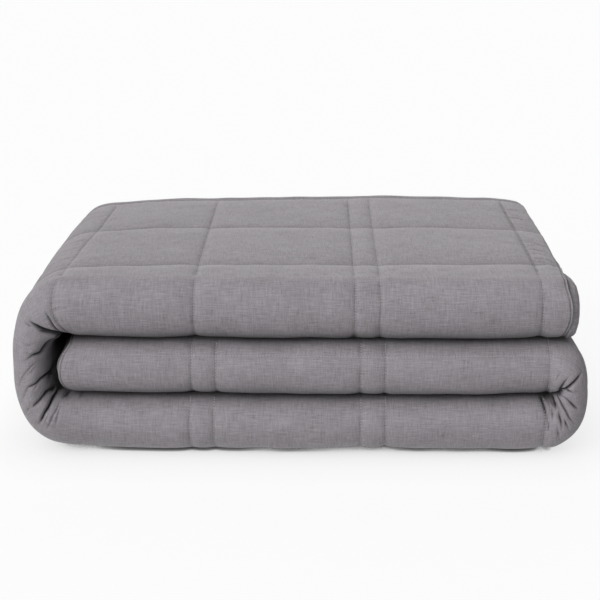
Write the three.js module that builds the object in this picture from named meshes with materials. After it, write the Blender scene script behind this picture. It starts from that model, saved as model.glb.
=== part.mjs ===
import * as THREE from 'three';

// A quilted bedspread, folded in four across its width and then in three along its length.
// Lengths are millimetres. +X runs along the folded stack, -Y is its folded front edge,
// +Z is up, and the stack lies on z = 0.
//
// The cloth is first folded in four: an outer wrap and, nested in it, an inner wrap. Its
// section then has four layers, closed at the front. That four-layer strip starts at the
// right of the top band, runs left, turns down round the left bend, runs right as the
// bottom band, turns up round the right bend and ends at the left of the middle band.

// Sizes of the folded stack.
const stackDepth = 469;
const level = { floor: 0, bottom: 75, middle: 143.5, top: 215 };
const layersPerStrip = 4;
const layerPitch = 17.9;

// What lies lower than this over the floor is pressed flat on it.
const seatDepth = 1.8;

// Thickness of the cloth: on the crown of a puff, at a quilting seam and at the hem.
const crownThickness = 16.6;
const seamThickness = 10;
const hemThickness = 4;

// How far the two free ends reach, and how much further the inner wrap does. Behind the
// front zone the top end stands out a little more.
const topEnd = 307;
const middleEnd = -272;
const innerWrapLead = 13;
const backLead = 8;

// The strip near a free end, from the end inwards: half the thickness of the cloth, how far
// the outer face of each wrap is from the middle of the strip, in layers, and how much of
// its lead a place has. The outer wrap thins to its hem, and the inner wrap swells into
// the room that this leaves.
const endSteps = [
  { from: 0, half: 2, outerFace: 1.89, innerFace: 1.12, lead: 1 },
  { from: 4, half: 2.6, outerFace: 1.945, innerFace: 1.46, lead: 1 },
  { from: 12, half: 5, outerFace: 1.964, innerFace: 1.62, lead: 1 },
  { from: 19, half: 7.4, outerFace: 1.964, innerFace: 1.18, lead: 0.6 },
];

// Quilting: half the width of a seam's groove, and the places of the lengthwise seams,
// measured from the front edge at the middle of the top band.
const grooveReach = 9;
const lengthwiseSeams = [80, 252, 424];
const seamSkew = 0.0124;
const frontSeamAngle = 26;

// Sag of the top towards its two back corners: its depth, and where it starts and ends.
const cornerSags = [
  { depth: 9, fromX: -90, toX: -262 },
  { depth: 13, fromX: 262, toX: 316 },
];

// The bends: the hub that the folds radiate from, and the ovals of the strip's outer and
// inner side round it. A squareness of 2 is an ellipse, and more is fuller.
const leftBend = {
  hub: { x: -258, z: 125 },
  outer: { x: -258, z: 107.5, halfWidth: 82, halfHeight: 107.5, squareness: 2.5 },
  inner: { x: -258, z: 109.25, halfWidth: 34, halfHeight: 34.25, squareness: 4 },
};
const rightBend = {
  hub: { x: 292, z: 75 },
  outer: { x: 292, z: 71.75, halfWidth: 48, halfHeight: 71.75, squareness: 2.2 },
  inner: { x: 292, z: 75, halfWidth: 3, halfHeight: 0.001, squareness: 2 },
};

// The parts of the strip. A straight band is given by its level next to the hub of its bend
// and by its outer level, and runs to the left or to the right.
const parts = {
  top: { inner: level.middle, outer: level.top, towards: -1 },
  leftBend: { bend: leftBend, towards: 1 },
  bottom: { inner: level.bottom, outer: level.floor, towards: 1 },
  rightBend: { bend: rightBend, towards: 1 },
  middle: { inner: level.bottom, outer: level.middle, towards: -1 },
};

// Features along the strip, in order from the free end of the top band. A seam is a cross
// seam, a pair is two of them, a crown is the middle of a puff, a fold is a crease that
// runs from the hub of a bend, as deep as stated, and a ridge stands between two folds. Push
// is how far the front edge stands out of line there, towards the front.
const stripFeatures = [
  { part: 'top', kind: 'end', at: topEnd, push: -2 },
  { part: 'top', kind: 'seam', at: 276.6, push: -1 },
  { part: 'top', kind: 'crown', at: 185, push: 3 },
  { part: 'top', kind: 'pair', at: 92.8, to: 63.5, push: 3 },
  { part: 'top', kind: 'crown', at: -29, push: 3 },
  { part: 'top', kind: 'seam', at: -121.3, push: 1 },
  { part: 'top', kind: 'crown', at: -200, push: 1 },
  { part: 'leftBend', kind: 'ridge', at: 92, push: -1 },
  { part: 'leftBend', kind: 'seam', at: 101, push: -1 },
  { part: 'leftBend', kind: 'ridge', at: 122, push: 0 },
  { part: 'leftBend', kind: 'ridge', at: 137, push: 1 },
  { part: 'leftBend', kind: 'fold', at: 148, depth: 9, push: 0 },
  { part: 'leftBend', kind: 'ridge', at: 163, push: 0 },
  { part: 'leftBend', kind: 'fold', at: 184, depth: 3, push: 0 },
  { part: 'leftBend', kind: 'ridge', at: 197, push: 0 },
  { part: 'leftBend', kind: 'fold', at: 209, depth: 6, push: 0 },
  { part: 'leftBend', kind: 'ridge', at: 219, push: 0 },
  { part: 'leftBend', kind: 'fold', at: 228, depth: 5, push: 0 },
  { part: 'leftBend', kind: 'ridge', at: 235, push: 0 },
  { part: 'leftBend', kind: 'fold', at: 242, depth: 9, push: 0 },
  { part: 'leftBend', kind: 'ridge', at: 251, push: 0 },
  { part: 'leftBend', kind: 'crown', at: 270, push: -3 },
  { part: 'bottom', kind: 'crown', at: -190, push: -1 },
  { part: 'bottom', kind: 'pair', at: -128.6, to: -100.7, push: 0 },
  { part: 'bottom', kind: 'crown', at: -14, push: 6 },
  { part: 'bottom', kind: 'pair', at: 71.8, to: 100.7, push: 5 },
  { part: 'bottom', kind: 'crown', at: 190, push: 3 },
  { part: 'bottom', kind: 'seam', at: 284, reach: 7, push: -2 },
  { part: 'rightBend', kind: 'ridge', at: -80, push: -1 },
  { part: 'rightBend', kind: 'fold', at: -70, depth: 4, push: 0 },
  { part: 'rightBend', kind: 'ridge', at: -61, push: 0 },
  { part: 'rightBend', kind: 'fold', at: -51, depth: 6, push: 0 },
  { part: 'rightBend', kind: 'ridge', at: -41, push: 0 },
  { part: 'rightBend', kind: 'fold', at: -31, depth: 4, push: 0 },
  { part: 'rightBend', kind: 'ridge', at: -8, push: 0 },
  { part: 'rightBend', kind: 'ridge', at: 6, push: 0 },
  { part: 'rightBend', kind: 'fold', at: 24, depth: 7, push: 0 },
  { part: 'rightBend', kind: 'ridge', at: 44, push: 0 },
  { part: 'rightBend', kind: 'ridge', at: 66, push: 0 },
  { part: 'rightBend', kind: 'crown', at: 84, push: -1 },
  { part: 'middle', kind: 'seam', at: 286, reach: 6, push: -2 },
  { part: 'middle', kind: 'crown', at: 190, push: 2 },
  { part: 'middle', kind: 'pair', at: 99.4, to: 70.9, push: 4 },
  { part: 'middle', kind: 'crown', at: -14, push: 3 },
  { part: 'middle', kind: 'pair', at: -97.2, to: -127, push: 2 },
  { part: 'middle', kind: 'crown', at: -195, push: 0 },
  { part: 'middle', kind: 'crown', at: -240, push: -1 },
  { part: 'middle', kind: 'end', at: middleEnd, push: -3 },
];

// How far the middle of each wrap's cloth is from the middle of the strip, in layers.
const usualRadius = { outer: 1.5, inner: 0.5 };

// Places in the section, from the front edge: the middle of the front turns and of the
// back fold, the free edges, a place halfway along a hidden leg, and the width of a hem.
const frontTurnY = 2 * layerPitch;
const backFoldY = stackDepth - layerPitch;
const freeEdgeY = stackDepth - 16;
const hiddenLegY = 230;
const hemRun = 9;

// Angles, in degrees, of the rows on the turns: up from the front of a front turn, and
// down from the top of the back fold to its foot.
const outerTurnAngles = [-90, -66, -40, -16, 9, frontSeamAngle, 43, 66, 90];
const innerTurnAngles = [90, 26, -40, -90];
const backFoldAngles = [90, 30, -30, -90];

// How far back from the front edge a fold or a waver of that edge dies out.
const frontZone = 130;

// How full the puff is beside a seam, from 0 on a seam to 1 on a crown, and at a hem.
const shoulder = 0.85;
const hemPuff = (hemThickness - seamThickness) / (crownThickness - seamThickness);

// How much of the front zone a place has: 1 at the front, 0 behind the zone.
function frontShare(y) {
  return 1 - THREE.MathUtils.smoothstep(y, frontTurnY, frontZone);
}

// The point where a ray from the hub of a bend meets an oval, found by halving its reach.
function pointOnOval(hub, degrees, oval) {
  const angle = THREE.MathUtils.degToRad(degrees);
  const halvings = 40;
  let near = 0;
  let far = 2 * level.top;
  for (let step = 0; step < halvings; step += 1) {
    const reach = (near + far) / 2;
    const across = Math.abs(hub.x + reach * Math.cos(angle) - oval.x) / oval.halfWidth;
    const up = Math.abs(hub.z + reach * Math.sin(angle) - oval.z) / oval.halfHeight;
    if (across ** oval.squareness + up ** oval.squareness < 1) near = reach;
    else far = reach;
  }
  return new THREE.Vector2(hub.x + near * Math.cos(angle), hub.z + near * Math.sin(angle));
}

// Half the thickness of the cloth, from how full the puff is there.
function halfThickness(puff) {
  return THREE.MathUtils.lerp(seamThickness, crownThickness, puff) / 2;
}

// A station is one line across the thickness of the strip, with what the cloth does there.
function stationAt(feature, at, puff) {
  const { bend, inner, outer } = parts[feature.part];
  return {
    inner: bend ? pointOnOval(bend.hub, at, bend.inner) : new THREE.Vector2(at, inner),
    outer: bend ? pointOnOval(bend.hub, at, bend.outer) : new THREE.Vector2(at, outer),
    puff,
    shift: (feature.depth ?? 0) - feature.push,
    frontSeam: feature.part === 'middle',
    end: null,
  };
}

// Stations of a free end, from the end inwards. A lead points out of the stack.
function endStations(feature) {
  const inward = -Math.sign(feature.at);
  return endSteps.map((step) => {
    const station = stationAt(feature, feature.at + inward * step.from, 1);
    const lead = -inward * step.lead;
    const leadAtBack = feature.part === 'top' ? backLead * lead : 0;
    return { ...station, end: { ...step, lead: innerWrapLead * lead, leadAtBack } };
  });
}

function featureStations(feature) {
  const { kind, at, to } = feature;
  const reach = (feature.reach ?? grooveReach) * parts[feature.part].towards;
  if (kind === 'end') {
    const made = endStations(feature);
    return feature.part === 'top' ? made : made.reverse();
  }
  if (kind === 'seam') {
    return [
      stationAt(feature, at - reach, shoulder),
      stationAt(feature, at, 0),
      stationAt(feature, at + reach, shoulder),
    ];
  }
  if (kind === 'pair') {
    return [
      stationAt(feature, at - reach, shoulder),
      stationAt(feature, at, 0),
      stationAt(feature, (at + to) / 2, shoulder),
      stationAt(feature, to, 0),
      stationAt(feature, to + reach, shoulder),
    ];
  }
  return [stationAt(feature, at, kind === 'fold' ? shoulder : 1)];
}

// A row is one line along the strip. A leg row lies flat, on the upper (1) or lower (-1)
// side of a wrap, and a turn row lies on a half round, at an angle up from its front or
// back. Facing says which way the outer face of the cloth looks: away from the middle of
// the wrap (1) or towards it (-1).
const facingOf = { outer: 1, inner: -1 };

function legRow(wrap, side, y, puff = 1, followsSeam = false) {
  return { kind: 'leg', wrap, facing: facingOf[wrap], side, y, puff, followsSeam };
}

function frontTurnRows(wrap, angles) {
  return angles.map((degrees) => ({
    kind: 'frontTurn',
    wrap,
    facing: facingOf[wrap],
    angle: THREE.MathUtils.degToRad(degrees),
    puff: 1,
    onFrontSeam: wrap === 'outer' && degrees === frontSeamAngle,
  }));
}

function backFoldRows() {
  return backFoldAngles.map((degrees) => ({
    kind: 'backFold',
    angle: THREE.MathUtils.degToRad(degrees),
    puff: 1,
    innerShare: (90 - degrees) / 180,
  }));
}

// Rows of the upper leg of the outer wrap, with the lengthwise seams.
function seamedLegRows() {
  return lengthwiseSeams.flatMap((seam, index) => {
    const rows = [
      legRow('outer', 1, seam - grooveReach, shoulder, true),
      legRow('outer', 1, seam, 0, true),
      legRow('outer', 1, seam + grooveReach, shoulder, true),
    ];
    if (index === 0) return rows;
    const crownY = (seam + lengthwiseSeams[index - 1]) / 2;
    return [legRow('outer', 1, crownY, 1, true), ...rows];
  });
}

// All rows, from the free edge of the outer wrap to that of the inner wrap.
function sectionRows() {
  return [
    legRow('outer', -1, freeEdgeY, hemPuff),
    legRow('outer', -1, freeEdgeY - hemRun, shoulder),
    legRow('outer', -1, hiddenLegY),
    ...frontTurnRows('outer', outerTurnAngles),
    ...seamedLegRows(),
    ...backFoldRows(),
    legRow('inner', 1, hiddenLegY),
    ...frontTurnRows('inner', innerTurnAngles),
    legRow('inner', -1, hiddenLegY),
    legRow('inner', -1, freeEdgeY - hemRun, shoulder),
    legRow('inner', -1, freeEdgeY, hemPuff),
  ];
}

// How far the middle of a wrap's cloth is from the middle of the strip, in layers. Near a
// free end it follows the outer face of the wrap, and the swelling stays in the front zone.
function wrapRadius(station, wrap, y) {
  if (!station.end) return usualRadius[wrap];
  const { outerFace, innerFace, half } = station.end;
  if (wrap === 'outer') return outerFace - half / layerPitch;
  const swollen = innerFace - half / layerPitch;
  return THREE.MathUtils.lerp(usualRadius.inner, swollen, frontShare(y));
}

// The place of a row in the section at a station: y from the front edge and lift in layers
// from the middle of the strip, on the middle of the cloth, and the way out of the cloth.
function sectionPlace(station, row) {
  if (row.kind === 'leg') {
    const radius = wrapRadius(station, row.wrap, row.y);
    const skew = row.followsSeam ? seamSkew * station.outer.x : 0;
    return { y: row.y + skew, lift: row.side * radius, outY: 0, outLift: row.side * row.facing };
  }
  const cosine = Math.cos(row.angle);
  const sine = Math.sin(row.angle);
  if (row.kind === 'frontTurn') {
    const radius = wrapRadius(station, row.wrap, 0);
    return {
      y: frontTurnY - radius * layerPitch * cosine,
      lift: radius * sine,
      outY: -row.facing * cosine,
      outLift: row.facing * sine,
    };
  }
  const outerRadius = wrapRadius(station, 'outer', backFoldY);
  const radius = (outerRadius - usualRadius.inner) / 2;
  return {
    y: backFoldY + radius * layerPitch * cosine,
    lift: usualRadius.inner + radius + radius * sine,
    outY: cosine,
    outLift: sine,
  };
}

// How far a place at a free end stands out along the strip.
function leadOf(station, row, y) {
  if (!station.end) return 0;
  const innerShare = row.innerShare ?? (row.wrap === 'inner' ? 1 : 0);
  const atBack = station.end.leadAtBack * (1 - frontShare(y));
  return THREE.MathUtils.lerp(atBack, station.end.lead, innerShare);
}

// How far the top has sunk at a place. The sag starts where the hidden legs have their row.
function sagAt(x, y, z) {
  const alongY = THREE.MathUtils.clamp((y - hiddenLegY) / (stackDepth - hiddenLegY), 0, 1);
  let sag = 0;
  for (const { depth, fromX, toX } of cornerSags) {
    const outwards = Math.sign(toX);
    sag += depth * THREE.MathUtils.smoothstep(outwards * x, outwards * fromX, outwards * toX);
  }
  return (sag * alongY * z) / level.top;
}

// The point of the cloth on one of its faces: face 1 is the outer face, -1 the inner one.
function clothPoint(station, row, face) {
  const rowPuff = row.onFrontSeam && station.frontSeam ? 0 : row.puff;
  let half = halfThickness(rowPuff < 0 ? rowPuff : station.puff * rowPuff);
  if (station.end) half = Math.min(half, station.end.half);
  const place = sectionPlace(station, row);
  const lift = place.lift + (face * half * place.outLift) / layerPitch;
  const across = station.inner.clone().lerp(station.outer, lift / layersPerStrip + 0.5);
  const y = place.y + face * half * place.outY;
  const x = across.x + leadOf(station, row, y);
  const z = across.y < seatDepth ? 0 : across.y - sagAt(x, y, across.y);
  return new THREE.Vector3(x, y + frontShare(y) * station.shift, z);
}

// The closed body: a grid of points on each face of the cloth, joined round its four edges.
function clothGeometry(stations, rows) {
  const points = [];
  for (const face of [1, -1]) {
    for (const station of stations) {
      for (const row of rows) {
        points.push(...clothPoint(station, row, face).toArray());
      }
    }
  }
  const faceSize = stations.length * rows.length;
  const outer = (i, j) => i * rows.length + j;
  const inner = (i, j) => faceSize + outer(i, j);
  const lastStation = stations.length - 1;
  const lastRow = rows.length - 1;
  const triangles = [];
  const quad = (a, b, c, d) => triangles.push(a, b, c, a, c, d);
  for (let i = 0; i < lastStation; i += 1) {
    for (let j = 0; j < lastRow; j += 1) {
      quad(outer(i, j), outer(i, j + 1), outer(i + 1, j + 1), outer(i + 1, j));
      quad(inner(i, j), inner(i + 1, j), inner(i + 1, j + 1), inner(i, j + 1));
    }
    quad(outer(i, 0), outer(i + 1, 0), inner(i + 1, 0), inner(i, 0));
    quad(outer(i + 1, lastRow), outer(i, lastRow), inner(i, lastRow), inner(i + 1, lastRow));
  }
  for (let j = 0; j < lastRow; j += 1) {
    quad(outer(0, j + 1), outer(0, j), inner(0, j), inner(0, j + 1));
    quad(
      outer(lastStation, j),
      outer(lastStation, j + 1),
      inner(lastStation, j + 1),
      inner(lastStation, j),
    );
  }
  const geometry = new THREE.BufferGeometry();
  geometry.setAttribute('position', new THREE.Float32BufferAttribute(points, 3));
  geometry.setIndex(triangles);
  geometry.computeVertexNormals();
  return geometry;
}

// Moves the origin to the middle of the underside.
function stoodOnOrigin(geometry) {
  geometry.computeBoundingBox();
  const { min, max } = geometry.boundingBox;
  return geometry.translate(-(min.x + max.x) / 2, -(min.y + max.y) / 2, -min.z);
}

const cloth = new THREE.MeshStandardMaterial({ color: 0x979297, roughness: 0.95, metalness: 0 });

const stations = stripFeatures.flatMap(featureStations);
const bedspread = new THREE.Mesh(stoodOnOrigin(clothGeometry(stations, sectionRows())), cloth);
bedspread.name = 'quilted_bedspread';

const group = new THREE.Group();
group.add(bedspread);

export default group;
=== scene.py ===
"""The looks of a folded quilted bedspread: its cloth, its stitches and a plain studio.

The cloth is laid along the same folds as the solid that it stands for, only finer. Tables
of the folds are in millimetres, and the meshes are in metres.
"""

import math

import bpy
import numpy as np
from bpy.props import FloatProperty, FloatVectorProperty, IntProperty, PointerProperty
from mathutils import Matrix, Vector


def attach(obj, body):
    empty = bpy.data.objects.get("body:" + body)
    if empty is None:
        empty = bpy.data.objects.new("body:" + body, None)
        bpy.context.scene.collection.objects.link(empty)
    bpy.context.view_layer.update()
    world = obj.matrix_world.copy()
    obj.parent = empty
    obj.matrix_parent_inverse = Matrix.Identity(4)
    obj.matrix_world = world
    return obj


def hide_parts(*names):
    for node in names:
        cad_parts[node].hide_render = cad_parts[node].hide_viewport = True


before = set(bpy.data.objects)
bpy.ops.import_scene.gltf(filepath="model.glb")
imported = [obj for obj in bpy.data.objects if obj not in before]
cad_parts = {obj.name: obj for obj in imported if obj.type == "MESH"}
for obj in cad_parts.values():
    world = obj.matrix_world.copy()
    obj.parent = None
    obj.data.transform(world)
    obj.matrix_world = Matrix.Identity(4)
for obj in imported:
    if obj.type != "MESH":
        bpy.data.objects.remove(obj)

bl_info = {
    "name": "Folded quilted bedspread",
    "version": (1, 0, 0),
    "blender": (4, 5, 0),
    "location": "View3D > Sidebar > Bedspread",
    "description": "Makes a folded quilted bedspread with its seams, stitches and studio",
    "category": "Add Mesh",
}

NODE = "quilted_bedspread"
BODY = "root"
MM = 0.001

# Levels of the bands over the floor. What lies lower than the seat is pressed flat on it.
FLOOR_LEVEL = 0.0
BOTTOM_LEVEL = 72.2
MIDDLE_LEVEL = 141.3
TOP_LEVEL = 215.0
SEAT_DEPTH = 1.8
SEATED_BELOW = SEAT_DEPTH * 0.9
SEAT_FADE = 5.0

# The stack's depth, the pitch of its layers, and places in it from its front edge: the middle of
# the front turns and of the back fold, the free edges, and the end of the front zone.
STACK_DEPTH = 469.0
LAYER_PITCH = 17.9
LAYERS = 4
FRONT_TURN_Y = 2 * LAYER_PITCH
BACK_FOLD_Y = STACK_DEPTH - LAYER_PITCH
FREE_EDGE_Y = 453.0
FRONT_ZONE = 130.0

# How far the middle of each wrap's cloth is from the middle of the strip, in layers.
OUTER_RADIUS = 1.5
INNER_RADIUS = 0.5
FOLD_RADIUS = (OUTER_RADIUS - INNER_RADIUS) / 2

# The middle of the folded stack, from its front edge: the frame stands on that point.
STACK_MIDDLE = (0.0074, 230.561)

# The free ends of the strip. The outer wrap stands out further at the back of the top, and
# the inner wrap at the front of the top, at the front of the middle and at the back.
TOP_END = 307.0
MIDDLE_END = -280.0
OUTER_LEAD = {"y": (36, 90, 120, 160, 250, 400, 440, 469), "lead": (0, 4, 6, 7.5, 9, 9.5, 9.5, 3)}
INNER_LEADS = {"top": 14.8, "back": 6.0}

# Where the end of the top turns from its shape at the front into its shape at the back.
TOP_END_TURN = (80.0, 190.0)

# The end of the top at the front, by the lift in layers: how far its outer wrap stands out,
# and how far its inner wrap droops.
FRONT_LEAD = {
    "lift": (-1.745, -1.5, -1.0, -0.33, 0.54, 1.0, 1.36, 1.745),
    "lead": (-2, -0.6, 2.2, 4.4, 4.4, 3, 1, 0),
    "droop": (6.5, 6.2, 5.5, 4.5, 3, 2, 1.2, 0.5),
}

# The end of the strip, by the distance from its free end. At the front the outer wrap thins
# out to a lip, at the back it is rounded, and the inner wrap swells out at the front. Faces
# are in layers from the middle of the strip.
END_TABLE = {
    "from_end": (0.0, 1.5, 4.0, 8.0, 12.0, 19.0, 26.0),
    "front_half": (1.6, 2.0, 2.6, 3.8, 5.0, 7.4, 8.4),
    "front_face": (1.885, 1.925, 1.945, 1.957, 1.964, 1.964, 1.964),
    "back_half": (1.8, 4.6, 6.6, 8.1, 8.4, 8.4, 8.4),
    "back_face": (1.48, 1.68, 1.83, 1.94, 1.964, 1.964, 1.964),
    "inner_face": (1.08, 1.34, 1.52, 1.64, 1.7, 1.2, 0.964),
    "lead": (1.0, 1.0, 1.0, 1.0, 1.0, 0.6, 0.0),
}

# The end of the middle band at the front, by the lift in layers: how far it is drawn in, and
# how far its inner wrap stands out.
DRAWN_IN = {
    "lift": (-1.745, -1.53, -1.17, -0.64, -0.17, 0.38, 0.79, 1.12, 1.46, 1.745),
    "depth": (9, 8, 3.8, 0.6, 0, 0.6, 2.2, 5, 8.4, 11.4),
    "lead": (2, 1.5, 1.2, 3.4, 4.2, 4.2, 2.4, 1.5, 1, 1),
}
DRAWN_REACH = 60.0

# Unevenness of the outer face: its height, its wavelength, its seed, and how much longer it is
# along the strip. And the puckers along the cross seams: their height, wavelength and seed,
# how little they change along the strip, and how far from a seam they go.
UNEVENNESS = ((0.6, 90, 1, 1.3), (0.35, 34, 2, 1.2))
PUCKERS = (0.4, 13, 3, 0.25, 9)

# Hem line of the outer wrap near a free end: its distance from the end, its width and depth.
RIM_GROOVE = (2.6, 0.8, 1.6)

# How far off the hem line counts as a seam for the painted shade of a seam's tuck, on the outer wrap and
# beyond its back fold.
RIM_GAPS = (0.3, 9)

# How far the front of the bottom band is off the floor near the bends, by x.
FOOT_LIFT = {
    "x": (-300, -280, -261, -238, -214, -179, -144, -110, -30, 130, 220, 288, 300, 315, 330, 345),
    "lift": (4, 5, 5, 4.2, 3.4, 2.6, 2, 2, 4, 4, 3.2, 3, 4, 6, 5.5, 3),
}

# Half the thickness of the cloth near its two long free edges at the back.
HEM_TABLE = {"from_edge": (0.0, 3.0, 9.0, 18.0), "half": (1.4, 2.4, 5.2, 8.4)}

# Cross seams, by the part of the strip and the places on it: x, or degrees round a hub. The one
# on the left shoulder has a name, because the cloth leans and is pulled beside it.
SHOULDER_SEAM = 99.0
CROSS_SEAMS = {
    "top": (278.2, 92.8, 63.5, -121.3),
    "left bend": (SHOULDER_SEAM,),
    "bottom": (-128.6, -100.7, 71.8, 100.7, 287.0),
    "middle": (289.5, 99.4, 70.9, -97.2, -125.5),
}

# Lengthwise seams on the upper side, from the front edge, and how far behind their places the
# first two are, by x.
LENGTHWISE_SEAMS = (93.0, 270.0, 441.0)
SEAM_BOWS = {
    "x": (-300, -270, -246, -222, -197, -173, -150, -60, 50, 140, 180, 210, 250, 277, 304),
    "first": (-20, -15.5, -16, -12.5, -10.5, -5.5, -3.5, -2.5, -1.5, 0, 0.5, 1, 2, 3, 3),
    "second": (-20, -18.5, -17, -11, -5, -0.5, 0.5, -1, -1.5, 0, -1.5, -4, -5, -6, -7),
}
SEAM_BOW_PLACES = (60.0, 400.0)

# Where round the section the seams start to lie so, and how far before the back fold they stop.
# They waver a little as well: how much, over what length, and the seed of it.
BOW_START = (60.0, 90.0)
BOW_FADE = 16.0
SEAM_WAVER = (0.6, 70, 5)

# How far the painted shade behind a lengthwise seam and the painted light before it reach, and
# how deep these seams are on the upper side and on the middle band, as a share of a cross seam.
SEAM_PAINT_REACH = (24.0, 18.0)
LENGTHWISE_DEPTH = 0.55

# Degrees round the left bend between which the upper side of the strip turns down.
TURNED_DOWN = (112.0, 160.0)

# Seams that get a painted dark line of shade: how wide it is, how dark the cross seam at the end
# of the top is, and how dark the lengthwise seams are beside the end and on the left shoulder.
LINE_WIDTH = 1.6
LINE_DARKNESS = {"cross": 2.4, "end": 2.0, "shoulder": 1.3}

# The seam that has drifted onto the front of the middle band: how far over the apex it is, how
# much further back it has got at the foot of the right bend, and its share of a full depth.
FRONT_SEAM = 23.2
FRONT_SEAM_DRIFT = 62.0
FRONT_SEAM_DEPTH = 0.55

# The rows between which the cloth moves with that seam, how far before the foot of the right
# bend it starts and ends to drift, and how far before the middle band it is in its place.
DRIFT_ROWS = (-40.0, 170.0)
DRIFT_RUN = (240.0, 60.0)
DRIFT_END = 12.0

# Cross seams of the bottom band fade between these places, where it is pressed to the floor.
PRESSED = (-40.0, -14.0)

# Cross seams are shallower at the gaps between the bands and at the back fold: how near they
# start to be, and how much of their depth is lost.
GAP_FADE = 10.0
GAP_LOSS = 0.8
FOLD_FADE = 40.0
FOLD_LOSS = 0.9

# The seam on the shoulder of the left bend leans out at the front: degrees by the distance
# round the section, and the stretch of the bend that leans with it.
SHOULDER_LEAN = {
    "around": (-60.0, -22.0, -4.0, 16.0, 35.0, 54.0, 94.0, 202.0, 253.0, 414.0),
    "degrees": (10.0, 14.0, 16.5, 12.5, 8.6, 5.6, 4.4, 0.4, -2.0, -3.5),
}
SHOULDER_REACH = (90.0, 152.0)

# How far the front edge stands out of line towards the front, by the part and the place on it.
FRONT_WANDER = {
    "top": ((307, -2), (276.6, -1), (185, 3), (78, 3), (-29, 3), (-121.3, 1), (-200, 1)),
    "left bend": ((95, -1), (140, 0.5), (250, 0), (269, -3)),
    "bottom": ((-190, -1), (-115, 0), (-14, 1.5), (86, 0.5), (190, -0.5), (284, -2)),
    "right bend": ((-80, -1), (-40, 0), (60, 0), (84, -1)),
    "middle": ((286, -2), (190, 2), (85, 4), (-14, 3), (-112, 2), (-195, 0), (-272, -3)),
}

# Sag of the back of the top along x, and the y where it starts.
BACK_SAG = {
    "x": (-330, -303, -280, -256, -232, -161, -90, -20, 30, 100, 200, 250, 275, 290, 310, 330),
    "depth": (15, 12, 13.2, 12.5, 10, 6.3, 4.8, 4.0, 2.6, 1.5, 2.4, 4.2, 4.6, 6, 10, 14),
}
SAG_FRONT_Y = 230.0

# Droop of the end of the top along x, and the stretch of y over which it comes in.
END_SAG = {"x": (277, 288, 298, 307, 318), "depth": (0, 1.2, 3, 5, 6)}
END_SAG_REACH = (45.0, 110.0)

# Pulls of the cloth beside the end of the top, and beside the seam on its left shoulder: the y
# of each, how deep it is beside the end, and how deep it is on the shoulder.
END_PULLS = (
    (108, 1.3, 1), (126, 2.3, 1.6), (147, 1.2, 0.6), (168, 2.6, 2.2), (186, 1.3, 0.4), (204, 2.9, 2.4),
    (223, 1.1, 0.8), (301, 1.1, 1.3), (338, 2.9, 1), (353, 1.4, 2), (389, 2.3, 1.4),
)

# Where the pulls come in and go out, by x and level at the end and by the distance past the seam
# on the shoulder, how wide they are, how far they curve, and how dark their painted shade is beside that
# of creases.
PULL_REACH = (281.0, 288.0, 300.0, 313.0)
PULL_LEVELS = (185.0, 195.0)
SHOULDER_PULL_REACH = (3.0, 10.0, 34.0, 60.0)
PULL_WIDTH = 2.3
PULL_CURVE = 18.0
PULL_PAST = 1.3
PULL_SHADE = 0.95
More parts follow.
